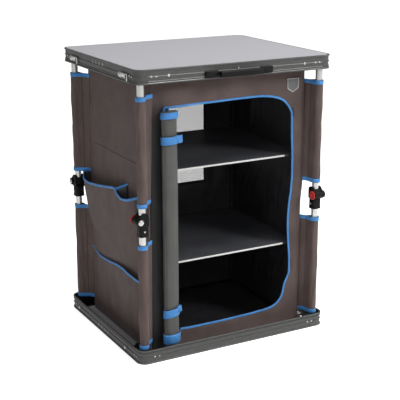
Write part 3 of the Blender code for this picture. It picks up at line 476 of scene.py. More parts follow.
def layTheFloor():  # white paper that glows for the camera, a little less near the cabinet
    sheet = {"half": 14, "sunk": 0.0005, "glow": {1: 0.8, 2: 3.2, 3: 0.80, 4: 1.0}, "inMetal": 0.5,
             "tone": 0.8}
    bm = bmesh.new()
    bmesh.ops.create_grid(bm, x_segments=1, y_segments=1, size=sheet["half"])
    bmesh.ops.translate(bm, vec=(0, 0, -sheet["sunk"]), verts=bm.verts)
    mesh = bpy.data.meshes.new("floor")
    bm.to_mesh(mesh)
    bm.free()
    floor = addObject("floor", mesh)
    paper = bpy.data.materials.new("white studio paper")
    paper.use_nodes = True
    tree = paper.node_tree
    tree.nodes.clear()
    ray = addNode(tree, "ShaderNodeLightPath").outputs
    spot = addNode(tree, "ShaderNodeTexCoord")
    away = addNode(tree, "ShaderNodeVectorMath", {"operation": "LENGTH"}, {0: spot.outputs["Object"]})
    fade = addNode(tree, "ShaderNodeMapRange", sheet["glow"], {0: away.outputs["Value"]})
    matt = addNode(tree, "ShaderNodeBsdfDiffuse", {"Color": (sheet["tone"], sheet["tone"], sheet["tone"], 1)})
    shown = addNode(tree, "ShaderNodeMath", {"operation": "MULTIPLY_ADD", 1: sheet["inMetal"]},
                    {0: ray["Is Glossy Ray"], 2: ray["Is Camera Ray"]})
    lift = addNode(tree, "ShaderNodeMath", {"operation": "MULTIPLY"}, {0: shown, 1: fade})
    glow = addNode(tree, "ShaderNodeEmission", None, {"Strength": lift})
    both = addNode(tree, "ShaderNodeAddShader", None, {0: matt, 1: glow})
    addNode(tree, "ShaderNodeOutputMaterial", None, {"Surface": both})
    mesh.materials.append(paper)


setTheView()
lightTheRoom()
layTheFloor()
print("camera, lights and floor set")


# Trays
tray = {
    "cornerRadius": 0.026, "mouldTail": 0.008, "bendSteps": 14, "seam": 0.0003,
    # section of a rail: in from the outer edge, up from the tray's flat side; two ribs run along the web
    "section": [
        (0.0007, 0.0), (0.0, 0.0008), (0.0, 0.0034), (0.0008, 0.0043), (0.0028, 0.0052),
        (0.0028, 0.0170), (0.0010, 0.0176), (0.0010, 0.0190), (0.0028, 0.0196),
        (0.0028, 0.0292), (0.0010, 0.0298), (0.0010, 0.0312), (0.0028, 0.0318),
        (0.0028, 0.0333), (0.0008, 0.0342), (0.0, 0.0351), (0.0, 0.0378), (0.0007, 0.0385),
        (0.0043, 0.0385), (0.0050, 0.0378), (0.0050, 0.0058), (0.0135, 0.0058), (0.0135, 0.0033),
        (0.0050, 0.0033), (0.0050, 0.0),
    ],
    # bands that take the painted highlight: the two ribs and the lip's sloped face
    "mouldProud": 0.0002, "ribDepth": 0.0024, "ribs": ((0.0168, 0.0198), (0.0290, 0.0320), (0.0343, 0.0352)),
}


def markRibs(bm):  # the two ribs and the open side's lip take the second finish, a painted highlight
    for face in bm.faces:
        spot = face.calc_center_median()
        if spot.y < tray["ribDepth"] and any(low < spot.z < high for low, high in tray["ribs"]):
            face.material_index = 1
    return bm


def railLength(number):
    return overall["width"] if number % 2 == 0 else overall["depth"]


def railBetween(number, striped):
    start = tray["cornerRadius"] + tray["mouldTail"] + tray["seam"]
    stations = [station((x, 0, 0), (0, 1, 0), (0, 0, 1)) for x in (start, railLength(number) - start)]
    bar = sweptSection(tray["section"], stations)
    return movedBy(markRibs(bar) if striped else bar, cornerPlace(number))


def cornerMoulding(number):
    radius, tail = tray["cornerRadius"], tray["mouldTail"]
    stations = [station((0, radius + tail, 0), (1, 0, 0), (0, 0, 1))]
    for x, y in arcPoints((radius, radius), radius, 180, 270, tray["bendSteps"]):
        stations.append(station((x, y, 0), (radius - x, radius - y, 0), (0, 0, 1)))
    stations.append(station((radius + tail, 0, 0), (0, 1, 0), (0, 0, 1)))
    proud = tray["mouldProud"]
    section = [(x - proud if 0.0005 < x < 0.004 else x, z) for x, z in tray["section"]]
    return movedBy(sweptSection(section, stations), cornerPlace(number))


trayFittings = {  # along a rail from its corner and up from the tray's flat side
    "smallRivet": (0.0024, 0.0014), "largeRivet": (0.0036, 0.0018), "rivetRise": 0.0185, "largeAlong": 0.0935,
    "smallAlong": {"long": (0.044, 0.058), "short": (0.0275, 0.0405)}, "rivetInward": 0.0012,
    "slot": (0.0013, 0.0050, 0.0012, 4), "slotPitch": 0.022, "slotRise": 0.0122,
    "slotShift": {"top": 0.006, "bottom": -0.0072}, "axle": (0.0255, 0.07005, 0.02575),
}


def onRail(number, along, rise, inward=0.0028):  # place on a rail's web, Z pointing out of it
    return cornerPlace(number) @ pointing((along, inward, rise), (0, -1, 0))


def rivet(radius, height):
    return spunRound([(0, height), (radius * 0.45, height * 0.92), (radius * 0.8, height * 0.55),
                      (radius, 0.0002), (radius, -0.0004), (0, -0.0004)], 20)


def railRivets(number, label):  # small ones at both ends, and large ones on the tabletop's long rails
    fitting = trayFittings
    kinds = [("smallRivet", near) for near in fitting["smallAlong"]["short" if number % 2 else "long"]]
    if number % 2 == 0 and label == "top":
        kinds.append(("largeRivet", fitting["largeAlong"]))
    heads = []
    for kind, near in kinds:
        for along in (near, railLength(number) - near):
            place = onRail(number, along, fitting["rivetRise"], fitting["rivetInward"])
            heads.append(movedBy(rivet(*fitting[kind]), place))
    return gathered(*heads)


def railSlots(number, label):  # four pressed slots midway along a side rail
    shift = trayFittings["slotShift"][label]
    middle = railLength(number) / 2 + (shift if number == 3 else -shift)
    slots = []
    for step in (-1.5, -0.5, 0.5, 1.5):
        stud = pushedOut(roundedOutline(*trayFittings["slot"]), -0.0004, 0.0005, 0.0003)
        place = onRail(number, middle + step * trayFittings["slotPitch"], trayFittings["slotRise"])
        slots.append(movedBy(stud, place))
    return gathered(*slots)


def axleHead():
    return spunRound([(0, 0.0033), (0.0035, 0.0032), (0.0042, 0.0028), (0.0095, 0.0026), (0.0113, 0.0018),
                      (0.0114, -0.0002), (0, -0.0002)], 32)


def buildTrays():
    for label, body, turn in (("bottom", "base", Matrix.Identity(4)), ("top", "top_tray", turnedOver)):
        for number, side in enumerate(("front", "right", "back", "left")):
            # only the tabletop's front and back rails take the painted highlight on their ribs
            rail = movedBy(railBetween(number, label == "top" and number % 2 == 0), turn)
            replaced = [label + "_frame"] if number == 0 else []
            finishPiece(f"{label}_rail_{side}", rail, "rail", body, "rail", replaced, extra=["rib"])
            moulding = movedBy(cornerMoulding(number), turn)
            finishPiece(f"{label}_corner_{corners[number]}", moulding, "moulding", body, "rail")
            rivets = movedBy(railRivets(number, label), turn)
            finishPiece(f"{label}_rivets_{side}", rivets, "steel", body, "steel")
            if number % 2:
                slots = movedBy(railSlots(number, label), turn)
                finishPiece(f"{label}_slots_{side}", slots, "steel", body, "steel")
        # the bottom panel takes the lighter laminate, with painted light
        refinished(label + "_panel", "panel" if label == "top" else "paintedLightLaminate")
        for number, corner in enumerate(corners):
            refinished(f"{label}_{corner}_hinge_bracket", "nylon")
            cap = movedBy(axleHead(), cornerPlace(number) @ pointing(trayFittings["axle"], (0, 1, 0)))
            finishPiece(f"{label}_axle_head_{corner}", movedBy(cap, turn), "steel", body, "steel")


buildTrays()
print("trays built")


# Folding legs
leg = {
    "along": 0.0255, "inward": 0.028, "pivot": 0.02575, "tube": 0.0095, "bore": 0.0083,
    "lowerTube": (0.03155, 0.3794), "upperTube": (0.4155, 0.76845),
    "barrel": (0.01185, 0.06525, 0.011), "socket": (0.0125, 0.0104),
}
knee = {
    "offset": 0.013, "height": 0.400, "bodyLow": -0.043, "bodyHigh": -0.0112, "halfWidth": 0.0143,
    "front": 0.0265, "cheekInner": 0.0102, "cheekOuter": 0.0148, "cheekRadius": 0.0112, "cheekRise": 0.022,
    "bossRadius": 0.0105, "bossEnd": 0.0198,
    "tongueHalf": 0.0098, "tongueRadius": 0.0108, "tongueRise": 0.0152,
}
button = {"radius": 0.0128, "thickness": 0.0032, "back": 0.0181}
sideways = Matrix(((1, 0, 0, 0), (0, 0, -1, 0), (0, 1, 0, 0), (0, 0, 0, 1)))  # drawn in XY, stood up in XZ


def tubePiece(low, high):
    outer, inner, edge = leg["tube"], leg["bore"], 0.0005
    ring = [(inner, low + edge), (inner + edge, low), (outer - edge, low), (outer, low + edge),
            (outer, high - edge), (outer - edge, high), (inner + edge, high), (inner, high - edge),
            (inner, low + edge)]
    return movedBy(spunRound(ring, 40), Matrix.Translation((leg["along"], leg["inward"], 0)))


def footPiece():
    start, end, radius = leg["barrel"]
    length = end - start
    drum = [(0.0043, 0), (radius - 0.001, 0), (radius, 0.001)]
    for groove in (0.30, 0.34):
        drum += [(radius, length * groove - 0.0008), (radius - 0.0006, length * groove),
                 (radius, length * groove + 0.0008)]
    drum += [(radius, length - 0.001), (radius - 0.001, length), (0.0043, length), (0.0043, 0)]
    barrel = movedBy(spunRound(drum, 36), pointing((leg["along"], start, leg["pivot"]), (0, 1, 0)))
    socketRadius, socketRise = leg["socket"]
    cup = [(0.0100, 0.004), (socketRadius, 0.004), (socketRadius, socketRise - 0.0012),
           (socketRadius - 0.0012, socketRise), (0.0106, socketRise), (0.0100, socketRise - 0.0005),
           (0.0100, 0.004)]
    collar = movedBy(spunRound(cup, 36), Matrix.Translation((leg["along"], leg["inward"], leg["pivot"])))
    return gathered(barrel, collar)


def atKnee(bm):
    return movedBy(bm, Matrix.Translation((leg["along"] - knee["offset"], leg["inward"], knee["height"])))


def standing(outline, low, high, edge):  # an XZ outline with its thickness along Y
    return movedBy(pushedOut(outline, -high, -low, edge), sideways)


def housingPiece():
    front, half = knee["front"], knee["halfWidth"]
    low, high = knee["bodyLow"], knee["bodyHigh"]
    body = pushedOut(roundedOutline(front / 2, half, 0.0085, 6, (front / 2, 0)), low + 0.004, high, 0.0012, 3)
    band = pushedOut(roundedOutline(front / 2 + 0.0006, half + 0.0006, 0.009, 6, (front / 2, 0)), low,
                     low + 0.0060, 0.0014, 3)
    shapes = [body, band]
    radius, rise = knee["cheekRadius"], knee["cheekRise"]
    outline = [*arcPoints((0, 0), radius, 270, 120, 12), (0.0045, rise - 0.0025), (0.0085, rise),
               (0.0175, rise), (0.0240, rise - 0.003), (front - 0.0003, rise - 0.008),
               (front - 0.0003, high - 0.002), (0.0003, high - 0.002)]
    for side in (-1, 1):
        near, far = sorted((side * knee["cheekInner"], side * knee["cheekOuter"]))
        shapes.append(standing(outline, near, far, 0.0009))
        rib = [(0.0185, -0.006), (0.0215, -0.006), (0.0215, rise - 0.007), (0.0185, rise - 0.004)]
        near, far = sorted((side * knee["cheekOuter"] * 0.98, side * (knee["cheekOuter"] + 0.0008)))
        shapes.append(standing(rib, near, far, 0.0003))
    boss = spunRound([(0.0036, 0.0), (knee["bossRadius"], 0.0), (knee["bossRadius"], 0.0062),
                      (knee["bossRadius"] - 0.0011, 0.0073),
                      (0.0036, 0.0073), (0.0036, 0.0)], 36)
    shapes.append(movedBy(boss, pointing((0, 0.0073 - knee["bossEnd"], 0), (0, -1, 0))))
    return atKnee(gathered(*shapes))


def tonguePiece():
    radius, rise, half = knee["tongueRadius"], knee["tongueRise"], knee["tongueHalf"]
    front = knee["offset"] + leg["tube"]
    outline = [*arcPoints((0, 0), radius, 90, 270, 14), (front - 0.002, -radius), (front, 0.002 - radius),
               (front, rise), (0.001, rise)]
    return atKnee(standing(outline, -half, half, 0.0010))


def pinPiece():  # silver disc with a punched centre, on the pin
    out = knee["bossEnd"] + 0.0003
    head = [(0, 0.0009), (0.0012, 0.0009), (0.0020, 0.0016), (0.0058, 0.0016), (0.0072, 0.0010),
            (0.00775, 0.0002), (0.00775, -0.0002), (0.0032, -0.0002), (0.0032, -0.0330), (0, -0.0330)]
    return atKnee(movedBy(spunRound(head, 36), pointing((0, -out, 0), (0, -1, 0))))


def buttonPiece():  # domed cap with a sunk ring and a steel pin head in its middle
    r, t = button["radius"], button["thickness"]
    cap = [(0, t - 0.0006), (0.0030, t - 0.0006), (0.0036, t), (0.0085, t), (0.0105, t - 0.0004),
           (r - 0.0006, t - 0.0012), (r, t - 0.0020), (r, 0.0004), (r - 0.0005, 0), (0.0018, 0),
           (0.0018, -0.0075), (0, -0.0075)]
    return atKnee(movedBy(spunRound(cap, 40), pointing((0, button["back"], 0), (0, 1, 0))))


def smallRivets():
    heads = []
    for side in (-1, 1):
        place = (knee["offset"] + 0.0005, side * (knee["halfWidth"] - 0.0002), -0.028)
        heads.append(movedBy(rivet(0.0026, 0.0013), pointing(place, (0, side, 0))))
    return atKnee(gathered(*heads))


def buildLegs():
    for number, corner in enumerate(corners):
        place = cornerPlace(number)
        lower, upper = corner + "_lower_leg", corner + "_upper_leg"
        pieces = [
            ("lower_foot_fitting", footPiece(), "nylon", lower, "black_plastic", "lower_foot"),
            ("lower_leg_tube", tubePiece(*leg["lowerTube"]), "tube", lower, "tube", "lower_tube"),
            ("knee_socket", housingPiece(), "nylon", lower, "black_plastic", "knee_housing"),
            ("knee_pin_disc", pinPiece(), "steel", lower, "steel", "knee_pin"),
            ("knee_rivets", smallRivets(), "steel", lower, "steel", None),
            ("push_button", buttonPiece(), "button", corner + "_button", "red_button", "lock_button"),
            ("knee_hinge_block", tonguePiece(), "nylon", upper, "black_plastic", "knee_tongue"),
            ("upper_leg_tube", tubePiece(*leg["upperTube"]), "tube", upper, "tube", "upper_tube"),
            ("upper_foot_fitting", movedBy(footPiece(), turnedOver), "nylon", upper, "black_plastic",
             "upper_foot"),
        ]
        for name, bm, finish, body, slot, node in pieces:
            finishPiece(f"{corner}_{name}", movedBy(bm, place), finish, body, slot,
                        [f"{corner}_{node}"] if node else [])
        pinHead = spunRound([(0, 0.0006), (0.0012, 0.0005), (0.0019, 0), (0.0019, -0.0006), (0, -0.0006)], 20)
        face = button["back"] + button["thickness"] - 0.0006
        pinHead = atKnee(movedBy(pinHead, pointing((0, face, 0), (0, 1, 0))))
        finishPiece(f"{corner}_button_pin", movedBy(pinHead, place), "steel", corner + "_button", "steel")


buildLegs()
print("legs built")


# Latches and handle
latch = {"places": (0.179, -0.153), "length": 0.0395, "drop": 0.021, "half": 0.007, "thickness": 0.0012,
         "hookDrop": 0.013, "stand": 0.0003, "lipDepth": 0.0029, "mouth": 0.0031, "closedHeight": 0.0775}
handle = {"inner": 0.064, "outer": 0.102, "bracketDepth": 0.0075, "bracketDrop": 0.0165,
          "bracketBottom": 0.7670, "pad": (0.7705, 0.7800), "padEdge": 0.005, "pivotY": -0.2522,
          "pivotDrop": 0.0255, "pin": (0.0022, 0.0155),
          "near": 0.0055, "far": 0.0175, "halfHeight": 0.0085, "swell": 0.12, "arm": (0.0044, 0.012, 0.0002),
          "rivet": (-0.002, -0.2490, 0.7858)}
endways = Matrix(((0, 0, 1, 0), (1, 0, 0, 0), (0, 1, 0, 0), (0, 0, 0, 1)))  # drawn in XY, stood up in YZ


def latchBlade():
    half, mouth, length = latch["half"], latch["mouth"], latch["length"]
    near = overall["width"] / 2 + latch["stand"]
    back, front = -length + mouth + 0.0015, -length - mouth
    tip = front - 0.006
    hook = latch["hookDrop"]
    outline = [*arcPoints((0, 0), half, -90, 90, 14),
               *arcPoints((tip + 0.0035, half - 0.0035), 0.0035, 90, 180, 5),
               (tip, -hook + 0.002), (tip + 0.002, -hook), (front - 0.001, -hook), (front, -hook + 0.001),
               (front, mouth - 0.001), (front + 0.001, mouth), (back - 0.001, mouth),
               (back, mouth - 0.001), (back, -half)]
    blade = pushedOut(outline, near, near + latch["thickness"], 0.0003)
    first, last, low, high = back + 0.004, back + 0.024, -half, -half + latch["thickness"]
    lip = pushedOut([(first, low), (last, low), (last, high), (first, high)], near, near + latch["lipDepth"],
                    0.0004)  # turned-up finger edge along the lower side
    return movedBy(gathered(blade, lip), endways)


def studPiece(rise, collar):
    neck = 0.0045 if collar else 0.0025
    shape = [(0, -0.0040), (neck, -0.0040), (neck, 0.0), (0.0024, 0.0), (0.0024, 0.0016), (0.0045, 0.0016),
             (0.0044, 0.0021), (0.0034, 0.0025), (0, 0.0026)]
    return movedBy(spunRound(shape, 28), pointing((overall["width"] / 2, 0, rise), (1, 0, 0)))


def buildLatches():
    rise = overall["height"] - latch["drop"]
    lowRise = latch["closedHeight"] - latch["drop"] - latch["length"]
    for side, mirror in (("left", Matrix.Scale(-1, 4, (1, 0, 0))), ("right", Matrix.Identity(4))):
        for place, end in zip(latch["places"], ("rear", "front")):
            name = f"{side}_{end}"
            turn = mirror @ Matrix.Translation((0, place, 0))
            blade = movedBy(latchBlade(), turn @ Matrix.Translation((0, 0, rise)))
            finishPiece(f"latch_blade_{name}", blade, "steel", f"latch_{name}", "steel",
                        [f"latch_hook_{name}"])
            finishPiece(f"latch_pivot_{name}", movedBy(studPiece(rise, True), turn), "steel", "top_tray",
                        "steel")
            finishPiece(f"latch_catch_{name}", movedBy(studPiece(lowRise, False), turn), "steel", "base",
                        "steel")


def handleMount(side, rise):
    web = -overall["depth"] / 2 + 0.0025
    low, high = sorted((side * handle["inner"], side * handle["outer"]))
    front, padEdge = web - handle["bracketDepth"], handle["padEdge"]
    bottom, top = handle["pad"]
    base = block((low, front, handle["bracketBottom"]),
                 (high, web, overall["height"] - handle["bracketDrop"]), 0.0018, 3)
    pad = block((low + padEdge, front - 0.0006, bottom), (high - padEdge, web - 0.003, top), 0.0012)
    radius, length = handle["pin"]
    pin = spunRound([(0, 0), (radius, 0), (radius, length), (0, length)], 20)
    pinPlace = (side * (handle["inner"] - 0.008), handle["pivotY"], rise)
    return gathered(base, pad, movedBy(pin, pointing(pinPlace, (side, 0, 0))))


def handleGrip():  # a bar that swells in its middle, with an arm at each end
    end = handle["inner"] - 0.0003
    middle = -(handle["near"] + handle["far"]) / 2
    depth = (handle["far"] - handle["near"]) / 2
    outline = roundedOutline(depth, handle["halfHeight"], 0.0042, 5, (middle, 0))
    bar = movedBy(pushedOut(outline, -end, end, 0.0012, 3), endways)
    for cut in (-0.5, -0.25, 0, 0.25, 0.5):  # rows for the swelling
        bmesh.ops.bisect_plane(bar, geom=bar.verts[:] + bar.edges[:] + bar.faces[:],
                               plane_co=(end * cut, 0, 0), plane_no=(1, 0, 0))
    for vert in bar.verts:
        vert.co.z *= 1 - handle["swell"] * (vert.co.x / end) ** 2
    radius, width, gap = handle["arm"]
    arms = []
    for low in (-end, end - width):
        arm = [*arcPoints((0, 0), radius, 90, -90, 10), (middle, -radius), (middle, radius)]
        arms.append(movedBy(pushedOut(arm, low + gap, low + width - gap, 0.0006), endways))
    return gathered(bar, *arms)


def buildHandle():
    rise = overall["height"] - handle["pivotDrop"]
    for side, name in ((-1, "left"), (1, "right")):
        finishPiece(f"handle_mount_{name}", handleMount(side, rise), "nylon", "top_tray", "black_plastic",
                    [f"handle_bracket_{name}"])
    grip = movedBy(handleGrip(), Matrix.Translation((0, handle["pivotY"], rise)))
    finishPiece("carrying_grip", grip, "nylon", "handle", "black_plastic", ["handle_grip"])
    head = movedBy(rivet(0.0026, 0.0012), pointing(handle["rivet"], (0, -1, 0)))
    finishPiece("handle_rivet", head, "steel", "top_tray", "steel")


buildLatches()
buildHandle()
print("latches and handle built")


# Fabric cabinet
cabinet = {
    "halfWidth": 0.245, "halfDepth": 0.195, "bottom": 0.0036, "top": 0.7964, "cloth": 0.0010,
    "levels": (0.0036, 0.2510, 0.5125, 0.7964), "fold": 0.0062, "step": 0.010,
    "sideStep": (0.0045, 0.009), "frontStep": 0.0075, "corner": 0.006, "bulge": 0.0055,
}
doorway = {  # the opening's edge, from lower left round to upper left
    "edge": [(-0.1500, 0.0565), (-0.0745, 0.0549), (0.0090, 0.0551), (0.1121, 0.0582), (0.1471, 0.0632),
             (0.1734, 0.0741), (0.1870, 0.0960), (0.1925, 0.1291), (0.2035, 0.1480), (0.2083, 0.1680),
             (0.2078, 0.2149), (0.2037, 0.2625), (0.1998, 0.3174), (0.2032, 0.3705), (0.2085, 0.4453),
             (0.2074, 0.5203), (0.2061, 0.5940), (0.2068, 0.6303), (0.1966, 0.6530), (0.1791, 0.6740),
             (0.1578, 0.6845), (0.1244, 0.6917), (0.0833, 0.6939), (-0.0753, 0.6908), (-0.1779, 0.6880),
             (-0.1830, 0.6870)],
    "left": -0.186, "sill": 0.060, "head": 0.690,
}
window = {  # the net's threads are drawn coarser than real, or they wouldn't show
    "half": 0.143, "low": 0.355, "high": 0.655, "seam": 0.003, "pitch": 0.0028, "thread": 0.0012,
    "sag": 0.0015, "inset": 0.0020, "leastArea": 0.31,
}
trayCloth = {"halfWidth": 0.2446, "halfDepth": 0.1946, "flat": (0.489, 0.389), "step": 0.02, "floor": 0.0046,
             "ceiling": 0.7948}


def slack(height):  # 0 where a shelf or a tray holds the cloth, 1 midway between
    for low, high in zip(cabinet["levels"], cabinet["levels"][1:]):
        if height <= high:
            return max(math.sin(math.pi * (height - low) / (high - low)), 0.0)
    return 0.0


def creases(along, height, seed, amount=1.0):  # soft diagonal folds of slack cloth, in metres
    drift = noise.noise(Vector((along * 5 + seed, height * 3, seed)))
    long = noise.noise(Vector((along * 14 + height * 5 + drift * 2, height * 2.6, seed + 7)))
    fine = noise.noise(Vector((along * 38 + height * 9 + drift * 5, height * 9, seed + 13)))
    return amount * cabinet["fold"] * (1.0 * long + 0.50 * fine)


def cornerBulge(height):
    # the front right corner is pushed out between the two shelves and a little above them
    rise = min(max((height - 0.365) / 0.075, 0), 1)
    fall = min(max((0.740 - height) / 0.180, 0), 1)
    return cabinet["bulge"] * (3 - 2 * rise) * rise ** 2 * (0.35 + 0.65 * fall)


def sideCloth(side, along, height):
    # outer face of a side wall; along runs with Y and on round both upright corners
    radius, flat = cabinet["corner"], cabinet["halfDepth"] - cabinet["corner"]
    bulge = cornerBulge(height) * min(max((-0.06 - along) / 0.12, 0), 1) ** 1.5 if side > 0 else 0
    if abs(along) > flat:
        turn = min((abs(along) - flat) / radius, math.pi / 2)
        out = cabinet["halfWidth"] - radius * (1 - math.cos(turn)) + bulge
        return Vector((side * out, math.copysign(flat + radius * math.sin(turn), along), height))
    edge = 1 - abs(along) / flat
    loose = slack(height) ** 0.8 * min(edge / 0.16, 1.0)
    ripple = creases(along, height, 3.0 if side < 0 else 21.0) + 0.002
    kept = 0.35 if side < 0 and height < 0.45 else 1.0
    return Vector((side * (cabinet["halfWidth"] + kept * loose * ripple + bulge), along, height))


def frontCloth(along, height):  # outer face of the front; along is X
    half = cabinet["halfWidth"] - cabinet["corner"]
    ease = min(max(1 - abs(along) / half, 0) / 0.10, 1.0)
    band = 1.0 if height > 0.70 or along > 0.205 or along < -0.19 else 0.35
    ripple = creases(along, height, 41.0, 0.9) * band + 0.0008
    tug = 0.0045 * math.exp(-((along + 0.160) / 0.035) ** 2 - ((height - 0.728) / 0.022) ** 2)
    tug += 0.0022 * math.exp(-((along + 0.205) / 0.012) ** 2 - ((height - 0.700) / 0.05) ** 2)
    push = cornerBulge(height) * min(max((along - 0.150) / (half - 0.150), 0), 1)
    return Vector((along + push, -cabinet["halfDepth"] - ease * slack(height) ** 0.6 * ripple - tug, height))


def backCloth(along, height):
    half = cabinet["halfWidth"] - cabinet["corner"]
    ease = min(max(1 - abs(along) / half, 0) / 0.12, 1.0)
    near = 0.25 if abs(along) < 0.16 and 0.32 < height < 0.68 else 1.0
    ripple = creases(along, height, 63.0) + 0.001
    return Vector((along, cabinet["halfDepth"] + near * ease * slack(height) ** 0.8 * ripple, height))


def clothGrid(low, high, bottom, top, stepAlong=None, stepUp=None):  # flat grid whose cloth map is in metres
    stepAlong = stepAlong or cabinet["step"]
    columns, rows = (max(round(length / step), 2) for length, step in
                     ((high - low, stepAlong), (top - bottom, stepUp or stepAlong)))
    bm = bmesh.new()
    bmesh.ops.create_grid(bm, x_segments=columns, y_segments=rows, size=0.5)
    uv = bm.loops.layers.uv.new("clothMap")
    for vert in bm.verts:
        vert.co = (low + (vert.co.x + 0.5) * (high - low), bottom + (vert.co.y + 0.5) * (top - bottom), 0)
    for face in bm.faces:
        for loop in face.loops:
            loop[uv].uv = loop.vert.co.xy
    return bm


def shaped(bm, place):
    for vert in bm.verts:
        vert.co = place(vert.co.x, vert.co.y)
    return bm


def thickCloth(piece, thickness=None, lined=True, offset=-1):  # one modifier gives the cloth its back face
    wall = piece.modifiers.new("thickness", "SOLIDIFY")
    wall.thickness = thickness or cabinet["cloth"]
    wall.offset = offset
    wall.use_even_offset = True
    wall.use_quality_normals = True
    if lined:
        wall.material_offset = 1
    return settled(piece)


def settled(piece):  # applies what modifiers are on a piece
    graph = bpy.context.evaluated_depsgraph_get()
    mesh = bpy.data.meshes.new_from_object(piece.evaluated_get(graph))
    piece.modifiers.clear()
    piece.data = mesh
    return piece


def pressedFlat(piece):  # gives the cloth piece a mesh of its own
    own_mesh(piece)
    return piece


def clothPiece(name, bm, finish, slot, flat, replaced=(), area=None, thickness=None, lined=True,
               offset=-1, body="base", folds=True):
    piece = finishPiece(name, bm, finish, body, slot, replaced, 80, ["lining"] if lined else [])
    bpy.context.view_layer.update()
    thickCloth(piece, thickness, lined, offset)
    if folds:
        pressedFlat(piece)
    return piece


def sheetArea(bm):
    return sum(face.calc_area() for face in bm.faces)


def cutOpening(bm, outline):  # trims a flat grid in XY back to outside a closed outline
    def inside(x, y):
        hit = False
        for (x1, y1), (x2, y2) in zip(outline, outline[1:] + outline[:1]):
            if (y1 > y) != (y2 > y) and x < (x2 - x1) * (y - y1) / (y2 - y1) + x1:
                hit = not hit
        return hit

    def nearest(x, y):
        best, spot = 1e9, None
        for (x1, y1), (x2, y2) in zip(outline, outline[1:] + outline[:1]):
            dx, dy = x2 - x1, y2 - y1
            t = min(max(((x - x1) * dx + (y - y1) * dy) / (dx * dx + dy * dy), 0), 1)
            px, py = x1 + t * dx, y1 + t * dy
            gap = (px - x) ** 2 + (py - y) ** 2
            if gap < best:
                best, spot = gap, (px, py)
        return spot

    within = {v for v in bm.verts if inside(v.co.x, v.co.y)}
    gone = [f for f in bm.faces if all(v in within for v in f.verts)]
    bmesh.ops.delete(bm, geom=gone, context="FACES")
    for vert in bm.verts:
        if vert in within:
            vert.co.x, vert.co.y = nearest(vert.co.x, vert.co.y)
    return bm


def smoothPath(points, repeats=2):  # rounds a chain of points by cutting its corners
    for _ in range(repeats):
        fresh = [points[0]]
        for a, b in zip(points, points[1:]):
            fresh += [tuple(p + (q - p) * 0.25 for p, q in zip(a, b)),
                      tuple(p + (q - p) * 0.75 for p, q in zip(a, b))]
        points = fresh + [points[-1]]
    return points


def tapeAlong(name, points, outward, width, thickness, finish="tape", shift=0.0, closed=False):
    # binding tape folded over an edge: a flat oval section carried along it
    # it faces outward, or to the path's right where that is None
    stations = []
    count = len(points)
    for i, point in enumerate(points):
        before = Vector(points[i - 1] if i or closed else point)
        after = Vector(points[(i + 1) % count] if i < count - 1 or closed else point)
        along = (after - before).normalized()
        out = Vector(outward) if outward else along.cross(Vector((0, 0, 1))).normalized()
        across = out.cross(along).normalized()
        stations.append(station(Vector(point) + across * shift, across, out))
    section = roundedOutline(width / 2, thickness / 2, thickness * 0.42, 2)
    tape = sweptSection(section, stations, closed)
    return pressedFlat(finishPiece(name, tape, finish, "base", "cabinet_fabric", (), 60))


def windowLine():  # the window's corners, from lower left round
    half = window["half"]
    return [(-half, window["low"]), (half, window["low"]), (half, window["high"]), (-half, window["high"])]


def buildWalls():
    low, high = cabinet["bottom"], cabinet["top"]
    width = cabinet["halfWidth"] - cabinet["corner"]
    reach = cabinet["halfDepth"] + (math.pi / 2 - 1) * cabinet["corner"]
    for side, name in ((-1, "left"), (1, "right")):
        bm = clothGrid(-reach, reach, low, high, *cabinet["sideStep"])
        shaped(bm, lambda y, z: sideCloth(side, y, z))
        if side < 0:
            bmesh.ops.reverse_faces(bm, faces=bm.faces)
        clothPiece(f"cabinet_wall_{name}", bm, "cloth", "cabinet_fabric", (2 * reach, high - low),
                   ["cabinet_shell"] if side < 0 else [])
    bm = cutOpening(clothGrid(-width, width, low, high), windowLine())
    area = sheetArea(bm)
    bmesh.ops.reverse_faces(bm, faces=bm.faces)
    clothPiece("cabinet_wall_back", shaped(bm, backCloth), "cloth", "cabinet_fabric", (2 * width, high - low),
               area=area)
    left = doorway["left"]
    opening = smoothPath([(left, doorway["sill"])] + doorway["edge"], 2) + [(left, doorway["head"])]
    bm = cutOpening(clothGrid(-width, width, low, high, cabinet["frontStep"]), opening)
    area = sheetArea(bm)
    # the front takes the cloth with painted shade left of the rolled door
    clothPiece("cabinet_front", shaped(bm, frontCloth), "frontCloth", "cabinet_fabric",
               (2 * width, high - low), ["front_panel"], area=area)

    path = [frontCloth(x, z) + Vector((0, 0.0005, 0)) for x, z in smoothPath(doorway["edge"], 3)]
    tapeAlong("doorway_binding", path, (0, -1, 0), 0.0062, 0.0026, shift=0.0006)
    zipPath = [p + Vector((0, 0.0008, 0)) for p in path]
    tapeAlong("doorway_zip", zipPath, (0, -1, 0), 0.0050, 0.0018, finish="zip", shift=-0.0050)


